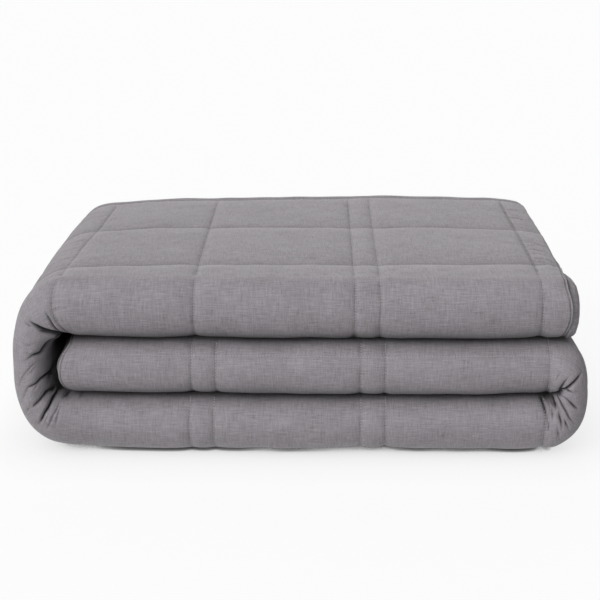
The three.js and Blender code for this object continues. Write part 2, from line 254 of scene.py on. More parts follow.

# Creases that run from the hubs of the bends over the front: a name, the widths of its upper
# and lower sides, and the points x, z and depth in millimetres, from the hub outwards. The depth
# also sets how much painted shade the cloth gets in them.
LEFT_CREASES = (
    ("lip", 1, 4.2, (
        (-312, 168.4, 1), (-308, 167.9, 3), (-303.2, 165.7, 5), (-298.8, 163.4, 7), (-291.3, 159, 9),
        (-282.3, 155.1, 11), (-275.6, 151.7, 13), (-267.5, 144.7, 14),
    )),
    ("pocket", 2, 4.6, (
        (-280.3, 148.8, 4), (-277.6, 146.6, 8), (-272.9, 143.4, 12), (-265.4, 139.1, 14),
    )),
    ("lip tip", 2.4, 3, ((-314.6, 165.2, 2.4), (-311.4, 163.9, 3.2), (-307, 163, 2))),
    ("under the lip", 2.2, 2.6, (
        (-301.1, 159, 2.5), (-295.9, 156.8, 5), (-290.7, 154.8, 5.5), (-284.2, 152.1, 5),
    )),
    ("over the lip", 1.1, 1.3, (
        (-291.4, 180.3, 0.8), (-288.5, 175.4, 3), (-285.5, 169.9, 4), (-282.8, 164.1, 4),
        (-279.9, 159.1, 4), (-276.3, 154.6, 3),
    )),
    ("upper", 1.5, 2.8, (
        (-279.2, 145.4, 7), (-280.4, 144.3, 7), (-287.3, 142.1, 6.5), (-292.8, 137.4, 6.5),
        (-296.9, 133, 6), (-299.1, 129.7, 5.5), (-302.1, 128.8, 5.5), (-305.1, 128.6, 5),
        (-307.8, 128.1, 4), (-312.2, 124.5, 2), (-319.2, 119.4, 0.4),
    )),
    ("soft", 2.6, 3.2, ((-318.6, 139.1, 0.8), (-312.2, 139.3, 2.3), (-306.5, 141.3, 1))),
    ("thin", 1.1, 1.4, (
        (-303, 120.3, 0.3), (-308.5, 115.6, 1.2), (-313.8, 109.9, 1.8), (-320.1, 102.9, 1.8),
        (-325.1, 93, 1.6), (-327.1, 86.6, 0.4),
    )),
    ("thin twin", 1.2, 1.6, (
        (-303.8, 115.6, 0.5), (-309.4, 109.1, 1.3), (-314.3, 105.6, 1.3), (-318.7, 99.9, 0.4),
    )),
    ("middle", 1.4, 2.5, (
        (-292.3, 95.4, 5), (-293.1, 101.3, 5.6), (-296.4, 100.5, 5.8), (-300.9, 98.5, 5.6),
        (-305.6, 94, 5), (-310.7, 91.4, 4), (-315.2, 89.2, 2.5), (-317.3, 83.9, 1.8),
        (-321.9, 75.5, 1.6), (-323.8, 69.7, 0.4),
    )),
    ("branch", 1.2, 1.4, ((-302.8, 93.8, 2), (-306, 89.7, 3), (-309.1, 85.7, 0.6))),
    ("lower", 1.4, 3, (
        (-279.6, 94.3, 6), (-289.3, 80.4, 6), (-292.1, 82, 6.5), (-295.8, 81.5, 6), (-300.2, 76.5, 5),
        (-304.2, 71.8, 4.5), (-308.7, 67.1, 3.5), (-311.4, 64.1, 1),
    )),
    ("lower twin", 1.1, 1.2, ((-312.6, 67.8, 0.8), (-316, 62.2, 2), (-318.4, 56.4, 0.6))),
    ("deep", 1.2, 1.5, (
        (-277.5, 88, 8), (-286.5, 75.5, 8), (-289.1, 72.4, 8), (-291.3, 67.7, 7.5), (-294.1, 62.4, 7),
        (-297.4, 57.6, 6.5), (-300.8, 50.7, 5.5), (-304.6, 43.1, 2),
    )),
    ("foot", 3, 3.6, ((-267.8, 81.6, 5), (-274.5, 71.7, 4.5), (-277, 70.4, 3), (-279.3, 68, 1))),
    ("foot fine", 1.1, 1.3, (
        (-280.8, 66.1, 0.6), (-282.5, 61.3, 1.5), (-287.9, 53.4, 1.6), (-291, 46.8, 2),
        (-294.6, 38.1, 1),
    )),
    ("foot twin", 1.2, 1.5, (
        (-277.8, 67.3, 0.6), (-281.1, 58.7, 1.5), (-283.6, 48.7, 1.6), (-285.9, 39.5, 0.5),
    )),
    ("dip", 1.6, 1.8, ((-256.6, 70.1, 3.5), (-252.6, 68.9, 1))),
    ("rise", 1.4, 1.6, (
        (-298.6, 42.1, 0.4), (-295.7, 49.9, 1.4), (-291.8, 58.9, 1), (-288.7, 64.6, 0.4),
    )),
)
RIGHT_CREASES = (
    ("hollow", 1.2, 3.2, (
        (281.2, 71.1, 1), (284.6, 71.1, 2), (290.5, 71.1, 4), (295.3, 77.2, 7), (299.5, 80.9, 8),
        (301.9, 84.6, 7.5),
    )),
    ("pit", 2.6, 3, ((297.4, 77.8, 5), (300.3, 79.4, 7), (301.5, 81.2, 6))),
    ("long", 1.3, 1.6, (
        (301.7, 86.7, 8), (306.1, 88.1, 7), (309.9, 90.8, 6.5), (314, 95.1, 6), (318.6, 99, 6),
        (322.5, 102.8, 5), (325.4, 105.3, 2.5),
    )),
    ("branch", 1.3, 2, ((308.6, 88.7, 5), (312.7, 86.5, 4.5), (316.5, 85.1, 1.6), (324.6, 85.3, 0.5))),
    ("second", 1.4, 1.8, (
        (300.9, 80.7, 4), (306.7, 78.1, 2.8), (310.9, 75.3, 3.2), (315.5, 71.3, 5), (320.3, 66.3, 4.5),
        (325.3, 62.2, 1.2),
    )),
    ("long fine", 1.2, 1.5, (
        (298.6, 76.7, 6), (302.4, 72.1, 4.8), (305.7, 66.8, 4.8), (309.3, 61.8, 4.4), (313.1, 54.9, 4),
        (315.9, 50.8, 3), (320.7, 45.8, 1.2),
    )),
    ("short", 1.5, 1.8, ((293.4, 73.1, 7), (295, 71, 6.5), (297.1, 67.3, 6), (298.8, 62.2, 1.5))),
    ("beside the seam", 1.1, 1.3, (
        (284.2, 70.3, 7), (286, 66.2, 6), (287.5, 60.4, 5), (288.9, 55.2, 4.5), (290.5, 48.8, 4.5),
        (291.3, 41.7, 4), (291.6, 35.5, 1),
    )),
    ("inner", 1.2, 1.3, ((295.1, 63.4, 1.5), (295.2, 56.1, 3.2), (295.5, 49.8, 0.8))),
    ("steep", 1.2, 1.4, ((301.2, 61.9, 1.6), (303, 54.1, 4.2), (305.1, 47.5, 4.2), (306.6, 38.4, 1))),
    ("steep twin", 1.2, 1.4, ((308.6, 51.5, 1.4), (311.1, 45.2, 4), (314.8, 38, 1))),
    ("foot", 1.3, 1.5, ((301.2, 40.3, 1.2), (303.1, 31.8, 3.4), (305.7, 25.1, 0.8))),
    ("foot twin", 1.3, 1.5, ((293.7, 36.5, 0.6), (296.1, 28.5, 1.3), (298, 22.3, 0.5))),
    ("upper", 1.5, 1.8, (
        (302.6, 89.4, 5), (306.3, 97.4, 3.2), (309.2, 102.3, 1.4), (311.8, 105.6, 0.4),
    )),
    ("upper twin", 1.5, 1.8, ((297.4, 100.1, 0.8), (298.7, 104.2, 1.6), (300.7, 108.9, 0.5))),
)

# The deepest that creases get, how far beyond the bends they are looked for, and what settles
# on which side of a crease a place right on its line is.
MOST_CREASE = 9.0
CREASE_MARGIN = 25.0
CREASE_TIE = 0.001

# Stitches as deep as this in a crease are out of sight, and those of a cross seam end at this
# share of a front turn. Those of the first lengthwise seam, of the others and of the drifted
# one go on so far past the bends.
HIDING_CREASE = 3.2
STITCHED_TURN = 0.8
STITCHED_PAST = (12.0, 20.0, 8.0)

# The patterns of the cloth: lengths along and round the strip in metres, the place in the noise
# that each starts from, and the detail and roughness of that noise.
WEAVE = {
    "streak along": (0.019, 0.0013, 0.0, 3.0, 0.6),
    "streak round": (0.0013, 0.015, 3.7, 3.0, 0.6),
    "grain": (0.0012, 0.0012, 9.1, 2.0, 0.6),
    "mottle": (0.05, 0.03, 5.3, 3.0, 0.6),
    "slub": (0.011, 0.0021, 12.9, 1.0),
    "dark slub": (0.0021, 0.012, 17.1, 1.0),
}
THREAD_TWIST = (0.0006, 0.0006, 0.0, 1.0)
FLOOR_FIBRE = (0.004, 0.004)

# Between which values something comes in: noise for the slubs, millimetres from a seam for the
# painted shade in its tuck, and millimetres of depth for the painted shade in a crease.
RAMPS = {"slub": (0.6, 0.74), "dark slub": (0.4, 0.27), "tuck": (2.2, 0.2), "crease": (1.2, 5.0)}

# The darkest and the palest of a colour, as shares of it, and the cloth's under full painted shade, as in
# a deep hollow.
CLOTH_TONES = (0.3, 1.7)
THREAD_TONES = (0.85, 1.15)
FIBRE_TONE = 0.995
FULL_SHADE_TONE = 0.04

# Height of the weave's relief in metres, and what the streaks and the grain add to it.
RELIEF_HEIGHT = 0.0006
STREAK_HEIGHT = 0.4
GRAIN_HEIGHT = 0.5

# Rays from each point of a surface that look for cloth near it, for the painted shade on the cloth and the
# painted shadow on the floor.
CLOTH_SAMPLES = 6
FLOOR_SAMPLES = 8

# The soft lights: the studio's setting for each, how wide it is in degrees, and where it stands.
LIGHTS = {
    "key light": ("key", 40, (-0.64, -0.64, 0.42)),
    "high light": ("high", 50, (-0.45, -0.45, 0.77)),
    "light from the side": ("side", 40, (-0.64, 0.64, 0.42)),
    "light from behind": ("behind", 40, (0.0, 0.87, 0.5)),
    "light from the front": ("front", 40, (0.0, -0.75, 0.66)),
    "fill light": ("fill", 60, (0.98, -0.14, 0.1)),
}

# Heights on the sky between which the glow of the floor turns into the light from above.
WORLD_HORIZON = (-0.85, -0.65)

# The camera, in metres and degrees, and the floor.
CAMERA_PLACE = (0.019574, -1.7804, 0.679732)
CAMERA_TURN = (90 - 17.3083, 0.0, 0.70624)
SENSOR_WIDTH = 36.0
FLOOR_SIZE = 600.0

# Places beside a seam that get a vertex of their own, how far from a part a seam may be to have
# some on it, how near two places may be, and the share of a step that a gap may be longer.
SEAM_OFFSETS = (0.0, 1.1, 2.5, 4.4, 7.0, 10.5)
SEAM_MARGIN = 11.0
LEAST_GAP = 0.35
STEP_SLACK = 0.2

# Where the strip has the finer kinds of row: its parts, and the places on them in between.
WHOLE = (-math.inf, math.inf)
KIND_PLACES = {
    "shown": {"top": WHOLE, "left bend": WHOLE, "right bend": WHOLE, "middle": (268.0, math.inf)},
    "close": {"top": (-math.inf, -246.0), "left bend": (-math.inf, 140.0)},
    "pull": {"top": (270.0, math.inf), "left bend": (97.0, 134.0)},
    "crease": {"left bend": (106.0, 262.0), "right bend": (-82.0, 86.0)},
}


class Oval:
    """A rounded outline. A squareness of 2 is an ellipse, and more is fuller.

    The squareness may be another one above the middle."""

    halvings = 36

    def __init__(self, x, z, half_width, half_height, squareness, above=None):
        self.x = x
        self.z = z
        self.half_width = half_width
        self.half_height = half_height
        self.squareness = squareness
        self.above = above or squareness

    def met_by(self, hub, degrees):
        """The points where rays from the hub meet the oval, found by halving their reach."""
        angle = np.radians(degrees)
        across, up = np.cos(angle), np.sin(angle)
        near = np.zeros_like(angle)
        far = np.full_like(angle, 2 * TOP_LEVEL)
        for _ in range(self.halvings):
            reach = (near + far) / 2
            u = np.abs(hub[0] + reach * across - self.x) / self.half_width
            height = hub[1] + reach * up - self.z
            power = np.where(height > 0, self.above, self.squareness)
            inside = u**power + (np.abs(height) / self.half_height) ** power < 1
            near = np.where(inside, reach, near)
            far = np.where(inside, far, reach)
        return hub[0] + near * across, hub[1] + near * up


class Band:
    """A straight part of the strip, with its level next to the hub and its outer level."""

    def __init__(self, first, last, inner, outer):
        self.first, self.last = first, last
        self.inner, self.outer = inner, outer
        self.length = abs(last - first)

    def place(self, travel):
        return self.first + (self.last - self.first) * travel / self.length

    def travel(self, at):
        return (at - self.first) / (self.last - self.first) * self.length

    def sides(self, at):
        level = np.ones_like(at)
        return (at, self.inner * level), (at, self.outer * level)


class Bend:
    """A part of the strip that turns round a hub, from one angle to another."""

    samples = 721

    def __init__(self, hub, outer, inner, first, last):
        self.hub, self.outer, self.inner = hub, outer, inner
        self.degrees = np.linspace(first, last, self.samples)
        x, z = outer.met_by(hub, self.degrees)
        self.reached = np.concatenate(([0.0], np.cumsum(np.hypot(np.diff(x), np.diff(z)))))
        self.length = self.reached[-1]

    def place(self, travel):
        return np.interp(travel, self.reached, self.degrees)

    def travel(self, at):
        return np.interp(at, self.degrees, self.reached)

    def sides(self, at):
        return self.inner.met_by(self.hub, at), self.outer.met_by(self.hub, at)


LEFT_HUB = (-258.0, 125.0)
RIGHT_HUB = (292.0, BOTTOM_LEVEL)
MIDDLE_BAND = (MIDDLE_LEVEL + BOTTOM_LEVEL) / 2
PARTS = {
    "top": Band(TOP_END, LEFT_HUB[0], MIDDLE_LEVEL, TOP_LEVEL),
    "left bend": Bend(
        LEFT_HUB,
        Oval(LEFT_HUB[0], TOP_LEVEL / 2, 79.5, TOP_LEVEL / 2, 2.5),
        Oval(LEFT_HUB[0], MIDDLE_BAND, 34, MIDDLE_LEVEL - MIDDLE_BAND, 4),
        90.0,
        270.0,
    ),
    "bottom": Band(LEFT_HUB[0], RIGHT_HUB[0], BOTTOM_LEVEL, FLOOR_LEVEL),
    "right bend": Bend(
        RIGHT_HUB,
        Oval(RIGHT_HUB[0], MIDDLE_LEVEL / 2, 48, MIDDLE_LEVEL / 2, 2.2, 2.55),
        Oval(RIGHT_HUB[0], BOTTOM_LEVEL, 3, 0.001, 2),
        -90.0,
        90.0,
    ),
    "middle": Band(RIGHT_HUB[0], MIDDLE_END, BOTTOM_LEVEL, MIDDLE_LEVEL),
}
PART_START = dict(zip(PARTS, np.cumsum([0.0] + [part.length for part in PARTS.values()])))
STRIP_LENGTH = sum(part.length for part in PARTS.values())

# Lengths round the section, from the apex of the outer front turn: a quarter of that turn,
# a leg, the half turns of the back fold and of the inner wrap, and half the cloth's thickness.
HALF_CLOTH = 8.3
OUTER_FACE = (OUTER_RADIUS + HALF_CLOTH / LAYER_PITCH) * LAYER_PITCH
QUARTER = OUTER_FACE * math.pi / 2
LEG = BACK_FOLD_Y - FRONT_TURN_Y
FOLD_RUN = (FOLD_RADIUS * LAYER_PITCH + HALF_CLOTH) * math.pi
INNER_RUN = INNER_RADIUS * LAYER_PITCH * math.pi
HEM_LEG = FREE_EDGE_Y - FRONT_TURN_Y
FIRST_ROUND = -QUARTER - HEM_LEG
FOLD_START = QUARTER + LEG
INNER_START = FOLD_START + FOLD_RUN
INNER_TURN = INNER_START + LEG
INNER_BACK = INNER_TURN + INNER_RUN
LAST_ROUND = INNER_BACK + HEM_LEG

# Where the painted lines of shade come in and go out: by x at the end of the top, by degrees on
# the left shoulder, and by the distance round the section for the cross seam.
LINE_PLACES = {
    "end": (279.0, 284.0),
    "shoulder": ((100.0, 108.0), (150.0, 170.0)),
    "cross": ((70.0, 90.0), (FOLD_START - 30, FOLD_START)),
}


def smoothstep(value, low, high):
    share = np.clip((value - low) / (high - low), 0, 1)
    return share * share * (3 - 2 * share)


def lerp(start, end, share):
    return start + (end - start) * share


def curve_through(x, xs, ys):
    """A smooth curve through the points of a table, level beyond its ends."""
    xs, ys = np.asarray(xs, float), np.asarray(ys, float)
    slopes = np.gradient(ys, xs)
    slopes[[0, -1]] = 0
    x = np.clip(x, xs[0], xs[-1])
    k = np.clip(np.searchsorted(xs, x, side="right") - 1, 0, len(xs) - 2)
    span = xs[k + 1] - xs[k]
    t = (x - xs[k]) / span
    rise = t * t * (3 - 2 * t)
    leave = t * (1 - t) ** 2 * span * slopes[k]
    arrive = t * t * (1 - t) * span * slopes[k + 1]
    return ys[k] + (ys[k + 1] - ys[k]) * rise + leave - arrive


def ripples(u, v, wavelength, seed, along=1.0, waves=16, uneven=(0.7, 1.5)):
    """Unevenness from sine waves of random directions, about -1 to 1, longer along u."""
    rng = np.random.default_rng(seed)
    total = 0.0
    for _ in range(waves):
        angle, phase = rng.uniform(0, 2 * math.pi, 2)
        number = 2 * math.pi / (wavelength * rng.uniform(*uneven))
        slope = u * math.cos(angle) / along + v * math.sin(angle)
        total = total + np.sin(slope * number + phase)
    return total / math.sqrt(2 * waves)


def spread(start, stop, step, marks, offsets=SEAM_OFFSETS):
    """Places from start to stop, no more than a step apart, close together at the marks."""
    kept = {start, stop}
    for mark in marks:
        kept |= {mark + side * offset for offset in offsets for side in (-1, 1)}
    kept = sorted(place for place in kept if start <= place <= stop)
    places = [kept[0]]
    for place in kept[1:]:
        gap = place - places[-1]
        if gap < LEAST_GAP:
            continue
        count = max(1, math.ceil(gap / step - STEP_SLACK))
        places += [places[-1] + gap * (n + 1) / count for n in range(count)]
    return np.array(places)


def front_share(y):
    """1 at the front, and 0 behind the front zone."""
    return 1 - smoothstep(y, FRONT_TURN_Y, FRONT_ZONE)


def end_front_share(strip, y):
    """1 where an end of the strip is shaped as at the front, and 0 where as at the back."""
    on_top = strip.end_side[:, None] > 0
    return np.where(on_top, 1 - smoothstep(y, *TOP_END_TURN), front_share(y))


def strip_travel(part, at):
    return PART_START[part] + PARTS[part].travel(at)


def section_place(around, outer_radius, inner_radius):
    """Where a place round the section is: y, lift in layers, and the way out of the cloth.

    The radii are those of the middle of the cloth of each wrap, in layers."""
    y = np.zeros_like(around)
    lift = np.zeros_like(around)
    out_y = np.zeros_like(around)
    out_lift = np.zeros_like(around)

    def put(mask, *values):
        for store, value in zip((y, lift, out_y, out_lift), values):
            store[mask] = np.broadcast_to(value, around.shape)[mask]

    put(around < -QUARTER, FRONT_TURN_Y - around - QUARTER, -outer_radius, 0, -1)
    angle = np.clip(around / QUARTER, -1, 1) * math.pi / 2
    front_y = FRONT_TURN_Y - outer_radius * LAYER_PITCH * np.cos(angle)
    on_turn = (around >= -QUARTER) & (around <= QUARTER)
    put(on_turn, front_y, outer_radius * np.sin(angle), -np.cos(angle), np.sin(angle))
    on_leg = (around > QUARTER) & (around <= FOLD_START)
    put(on_leg, FRONT_TURN_Y + around - QUARTER, outer_radius, 0, 1)
    angle = (0.5 - np.clip((around - FOLD_START) / FOLD_RUN, 0, 1)) * math.pi
    fold_radius = (outer_radius - INNER_RADIUS) / 2
    fold_y = BACK_FOLD_Y + fold_radius * LAYER_PITCH * np.cos(angle)
    fold_lift = INNER_RADIUS + fold_radius * (1 + np.sin(angle))
    on_fold = (around > FOLD_START) & (around <= INNER_START)
    put(on_fold, fold_y, fold_lift, np.cos(angle), np.sin(angle))
    on_inner = (around > INNER_START) & (around <= INNER_TURN)
    put(on_inner, BACK_FOLD_Y - around + INNER_START, inner_radius, 0, -1)
    angle = (0.5 - np.clip((around - INNER_TURN) / INNER_RUN, 0, 1)) * math.pi
    inner_y = FRONT_TURN_Y - inner_radius * LAYER_PITCH * np.cos(angle)
    on_inner_turn = (around > INNER_TURN) & (around <= INNER_BACK)
    put(on_inner_turn, inner_y, inner_radius * np.sin(angle), np.cos(angle), -np.sin(angle))
    put(around > INNER_BACK, FRONT_TURN_Y + around - INNER_BACK, -inner_radius, 0, 1)
    return y, lift, out_y, out_lift


class Strip:
    """The stations along the folded strip: where they are, and what the cloth does there."""

    band_step = 7.0
    bend_step = 2.8
    end_marks = (0.0, 0.9, 1.8, 2.6, 3.4, 4.2, 5.2, 7.0, 9.5, 12.0, 15.0, 18.0, 21.5, 26.0)

    def __init__(self):
        self.seams = [strip_travel(part, at) for part, places in CROSS_SEAMS.items() for at in places]
        travels = []
        for name, part in PARTS.items():
            start = PART_START[name]
            step = self.band_step if isinstance(part, Band) else self.bend_step
            end = start + part.length
            marks = [seam for seam in self.seams if start - SEAM_MARGIN < seam < end + SEAM_MARGIN]
            places = spread(start, end, step, marks)
            travels.append(places if not travels else places[1:])
        marks = np.array(self.end_marks)
        inside = np.concatenate(travels)
        inside = inside[(inside > marks[-1]) & (inside < STRIP_LENGTH - marks[-1])]
        places = np.unique(np.concatenate((inside, marks, STRIP_LENGTH - marks)).round(4))
        halves = (places[1:] + places[:-1]) / 2
        self.travel = np.concatenate((places, halves))
        self.place_stations()
        keep = np.concatenate((np.ones(len(places), bool), self.has("crease")[len(places) :]))
        extra = np.arange(len(self.travel)) >= len(places)
        order = np.argsort(self.travel[keep])
        self.travel = self.travel[keep][order]
        self.extra = extra[keep][order]
        self.place_stations()
        self.from_end = np.minimum(self.travel, STRIP_LENGTH - self.travel)
        self.end_side = np.where(self.travel < STRIP_LENGTH / 2, 1.0, -1.0)
        wander = [(strip_travel(part, at), out) for part in FRONT_WANDER for at, out in FRONT_WANDER[part]]
        self.wander = curve_through(self.travel, *zip(*wander))

    def place_stations(self):
        """Finds the part of the strip and the place on it for each station."""
        names = list(PARTS)
        starts = np.array([PART_START[name] for name in names])
        self.part = np.clip(np.searchsorted(starts, self.travel, side="right") - 1, 0, len(names) - 1)
        self.at = np.empty_like(self.travel)
        for index, name in enumerate(names):
            mine = self.part == index
            self.at[mine] = PARTS[name].place(self.travel[mine] - PART_START[name])

    def is_on(self, name):
        return self.part == list(PARTS).index(name)

    def nearest_seam(self):
        """The distance to the nearest cross seam."""
        gaps = np.abs(self.travel[:, None] - np.array(self.seams)[None, :])
        return gaps.min(axis=1)

    def has(self, kind):
        """Which stations have rows of a kind."""
        there = np.zeros(len(self.travel), bool)
        for name, (low, high) in KIND_PLACES[kind].items():
            there |= self.is_on(name) & (self.at > low) & (self.at < high)
        return there

    def row_kinds(self):
        """The kinds of row that each station has on the outer face."""
        there = {kind: self.has(kind) for kind in KIND_PLACES}
        there["close"] |= there["pull"]
        stations = range(len(self.travel))
        return [{"every", "face", *(kind for kind in there if there[kind][i])} for i in stations]


class Rows:
    """The places round the section, and the kind of each.

    The inner face has only the kind "every", and the outer face has "face" as well. The
    others are for the upper leg where it shows, closer rows, pulls of the end, and creases."""

    turn_step = 2.6
    leg_step = 7.6
    past_turn = 14.0
    closer_over = 4.0
    front_seam_offsets = (0.0, 1.4, 3.2)
    pull_offsets = (-3.5, -1.6, 0.0, 1.6, 3.5)
    least_pull_gap = 0.6
    creased_share = 0.86
    fold_places = 13
    every_on_turn, every_on_leg, every_on_fold = 3, 8, 2
    hem_leg = (0, 3, 9, 18, 60, 150, 250, 330, 370, 392, 404, 411)
    inner_leg = (20, 100, 200, 300, 360, 390, 405)

    def __init__(self):
        self.seams = [QUARTER + seam - FRONT_TURN_Y for seam in LENGTHWISE_SEAMS]
        places = [(FIRST_ROUND + step, "every") for step in self.hem_leg]
        turn_end = QUARTER + self.past_turn
        turn = spread(-QUARTER, turn_end, self.turn_step, [FRONT_SEAM], self.front_seam_offsets)
        self.leg_start = turn[-1]
        for n, place in enumerate(turn):
            places.append((place, "face" if n % self.every_on_turn else "every"))
        halves = (turn[1:] + turn[:-1]) / 2
        places += [(place, "crease") for place in halves if abs(place) < self.creased_share * QUARTER]
        leg = spread(turn[-1], FOLD_START, self.leg_step, self.seams)[1:]
        places.append((leg[0], "every"))
        for n, place in enumerate(leg[1:-1], 1):
            places.append((place, "shown" if n % self.every_on_leg else "every"))
        gaps = [(one, two) for one, two in zip(leg[:-1], leg[1:]) if two - one > self.closer_over]
        places += [((one + two) / 2, "close") for one, two in gaps]
        for y, _, _ in END_PULLS:
            places += [(QUARTER + y - FRONT_TURN_Y + step, "pull") for step in self.pull_offsets]
        for start, end in ((FOLD_START, INNER_START), (INNER_TURN, INNER_BACK)):
            bent = np.linspace(start, end, self.fold_places)
            for n, place in enumerate(bent):
                places.append((place, "face" if n % self.every_on_fold else "every"))
        places += [(INNER_START + step, "every") for step in self.inner_leg]
        places += [(LAST_ROUND - step, "every") for step in self.hem_leg[::-1]]
        places.sort()
        kept = [places[0]]
        for place in places[1:]:
            if place[1] != "pull" or place[0] - kept[-1][0] > self.least_pull_gap:
                kept.append(place)
        self.around = np.array([place for place, _ in kept])
        self.kind = [kind for _, kind in kept]


def surface_points(strip, rows, sizes):
    """The points of the outer and inner face of the cloth, for each station and row.

    Also how far round the section each of them is, and how deep in a crease."""
    travel = strip.travel[:, None]
    around = rows.around[None, :]
    back = 1 - smoothstep(around, FOLD_START - BOW_FADE, FOLD_START)
    on_upper = smoothstep(around, *BOW_START) * back
    moved = around + seam_bow(strip, rows) * on_upper
    height, wavelength, seed = SEAM_WAVER
    moved = moved + height * ripples(travel, 0 * around, wavelength, seed) * on_upper
    before = smoothstep(around, DRIFT_ROWS[0], FRONT_SEAM)
    after = 1 - smoothstep(around, FRONT_SEAM, DRIFT_ROWS[1])
    moved = moved + front_seam_drift(strip)[:, None] * before * after

    plain = np.full_like(moved, OUTER_RADIUS)
    front = end_front_share(strip, section_place(moved, plain, plain)[0])
    from_end = strip.from_end[:, None] + 0 * around
    end = {
        column: curve_through(from_end, END_TABLE["from_end"], END_TABLE[column])
        for column in END_TABLE
        if column != "from_end"
    }
    end_half = lerp(end["back_half"], end["front_half"], front)
    half = np.minimum(half_thickness(strip, rows, sizes), end_half)
    outer_radius = lerp(end["back_face"], end["front_face"], front) - end_half / LAYER_PITCH
    inner_radius = lerp(INNER_RADIUS, end["inner_face"] - end_half / LAYER_PITCH, front)
    y, lift, out_y, out_lift = section_place(moved, outer_radius, inner_radius)
    outer, inner = (
        laid_points(strip, moved, y + side * half * out_y, lift + side * half * out_lift / LAYER_PITCH)
        for side in (1, -1)
    )
    outwards = outer - inner
    outwards /= np.linalg.norm(outwards, axis=-1, keepdims=True)
    crease = creases_at(strip, outer)
    pulls = pulls_at(strip, outer)
    pressed_in = np.minimum(crease, MOST_CREASE) + pulls
    # The pulls count into the crease depth at this share, for their painted shade.
    crease = crease + pulls * PULL_SHADE
    outer = outer + outwards * (outer_relief(strip, moved) - pressed_in)[..., None]
    on_floor = outer[..., 2] < SEATED_BELOW
    outer[..., 2] = np.where(on_floor | (outer[..., 2] < 0), 0.0, outer[..., 2])
    return outer, inner, moved, crease


def middle_x(strip):
    """The x of each station on the outer side of the strip."""
    x = np.empty_like(strip.at)
    for index, part in enumerate(PARTS.values()):
        mine = strip.part == index
        x[mine] = part.sides(strip.at[mine])[1][0]
    return x


def seam_bow(strip, rows):
    """How far back the rows of the upper side lie, as the lengthwise seams do."""
    x = middle_x(strip)
    places = (SEAM_BOW_PLACES[0], *rows.seams[:2], SEAM_BOW_PLACES[1])
    bow = 0.0
    for number, name in enumerate(("first", "second"), 1):
        tent = np.interp(rows.around, places, np.arange(4) == number)
        bow = bow + curve_through(x, SEAM_BOWS["x"], SEAM_BOWS[name])[:, None] * tent[None, :]
    return bow


def drifted_share(strip):
    """0 where the first lengthwise seam is in its place, 1 where it has drifted forwards."""
    foot = PART_START["right bend"]
    return smoothstep(strip.travel, foot - DRIFT_RUN[0], foot - DRIFT_RUN[1])


def front_seam_drift(strip):
    """How far the drifted seam is still behind its place on the middle band."""
    placed = smoothstep(strip.travel, PART_START["right bend"], PART_START["middle"] - DRIFT_END)
    return FRONT_SEAM_DRIFT * drifted_share(strip) * (1 - placed)


def seam_fullness(distance, sizes):
    """From 0 on a seam to 1 far from it: a steep shoulder, then a low crown."""
    steep = 1 - np.exp(-np.abs(distance) / (sizes.groove_width / MM))
    crown = 1 - np.exp(-np.abs(distance) / (sizes.crown_reach / MM))
    return lerp(steep, crown, sizes.crown_share)


def half_thickness(strip, rows, sizes):
    """Half the thickness of the cloth, with its seams and its hems."""
    across = 1 - seam_fullness(strip.nearest_seam(), sizes)[:, None]
    to_gap = (np.abs(rows.around) - QUARTER) / GAP_FADE
    at_fold = smoothstep(rows.around, FOLD_START - FOLD_FADE, FOLD_START)
    across = across * ((1 - GAP_LOSS * np.exp(-(to_gap**2))) * (1 - FOLD_LOSS * at_fold))[None, :]
    pressed = strip.is_on("bottom")[:, None] * (1 - smoothstep(rows.around, *PRESSED)[None, :])
    puff = 1 - across * (1 - pressed)
    drifted = drifted_share(strip)
    lines = [(rows.seams[0], 1 - drifted), (FRONT_SEAM, FRONT_SEAM_DEPTH * drifted)]
    lines += [(place, np.ones_like(drifted)) for place in rows.seams[1:]]
    shallow = lerp(1.0, LENGTHWISE_DEPTH, on_upper_side(strip) + strip.is_on("middle"))
    lines = [(place, strength * shallow) for place, strength in lines]
    for place, strength in lines:
        fullness = seam_fullness(rows.around - place, sizes)[None, :]
        puff = puff * (1 - strength[:, None] * (1 - fullness))
    half = lerp(sizes.seam_thickness / MM, sizes.crown_thickness / MM, puff) / 2
    from_hem = np.minimum(rows.around - FIRST_ROUND, LAST_ROUND - rows.around)
    hem_half = curve_through(from_hem, HEM_TABLE["from_edge"], HEM_TABLE["half"])[None, :]
    return np.minimum(half, hem_half)


def laid_points(strip, around, y, lift):
    """Points x, y, z for places given by y and by the lift through the strip, in layers."""
    x = np.empty_like(y)
    z = np.empty_like(y)
    share = lift / LAYERS + 0.5
    for index, (name, part) in enumerate(PARTS.items()):
        mine = strip.part == index
        at = strip.at[mine][:, None] + 0 * around[mine]
        if name == "left bend":
            at = at + shoulder_lean(at, around[mine])
        inner, outer = part.sides(at)
        x[mine] = lerp(inner[0], outer[0], share[mine])
        z[mine] = lerp(inner[1], outer[1], share[mine])
    out, down = end_shift(strip, around, y, lift)
    x = x + out
    raised = curve_through(x, FOOT_LIFT["x"], FOOT_LIFT["lift"]) * front_share(y)
    raised = raised * np.clip(1 - z / BOTTOM_LEVEL, 0, 1)
    seated = z - SEAT_DEPTH * np.exp(-np.maximum(z - SEAT_DEPTH, 0) / SEAT_FADE)
    z = raised + np.where(z < SEAT_DEPTH, 0.0, seated - sag(x, y, z) - down)
    y = y - front_share(y) * strip.wander[:, None]
    return np.stack((x, y, z), axis=-1)


def shoulder_lean(at, around):
    """How many degrees the seam on the shoulder of the left bend leans out there."""
    degrees = curve_through(around, SHOULDER_LEAN["around"], SHOULDER_LEAN["degrees"])
    rising = smoothstep(at, SHOULDER_REACH[0], SHOULDER_SEAM)
    falling = 1 - smoothstep(at, SHOULDER_SEAM, SHOULDER_REACH[1])
    return degrees * rising * falling


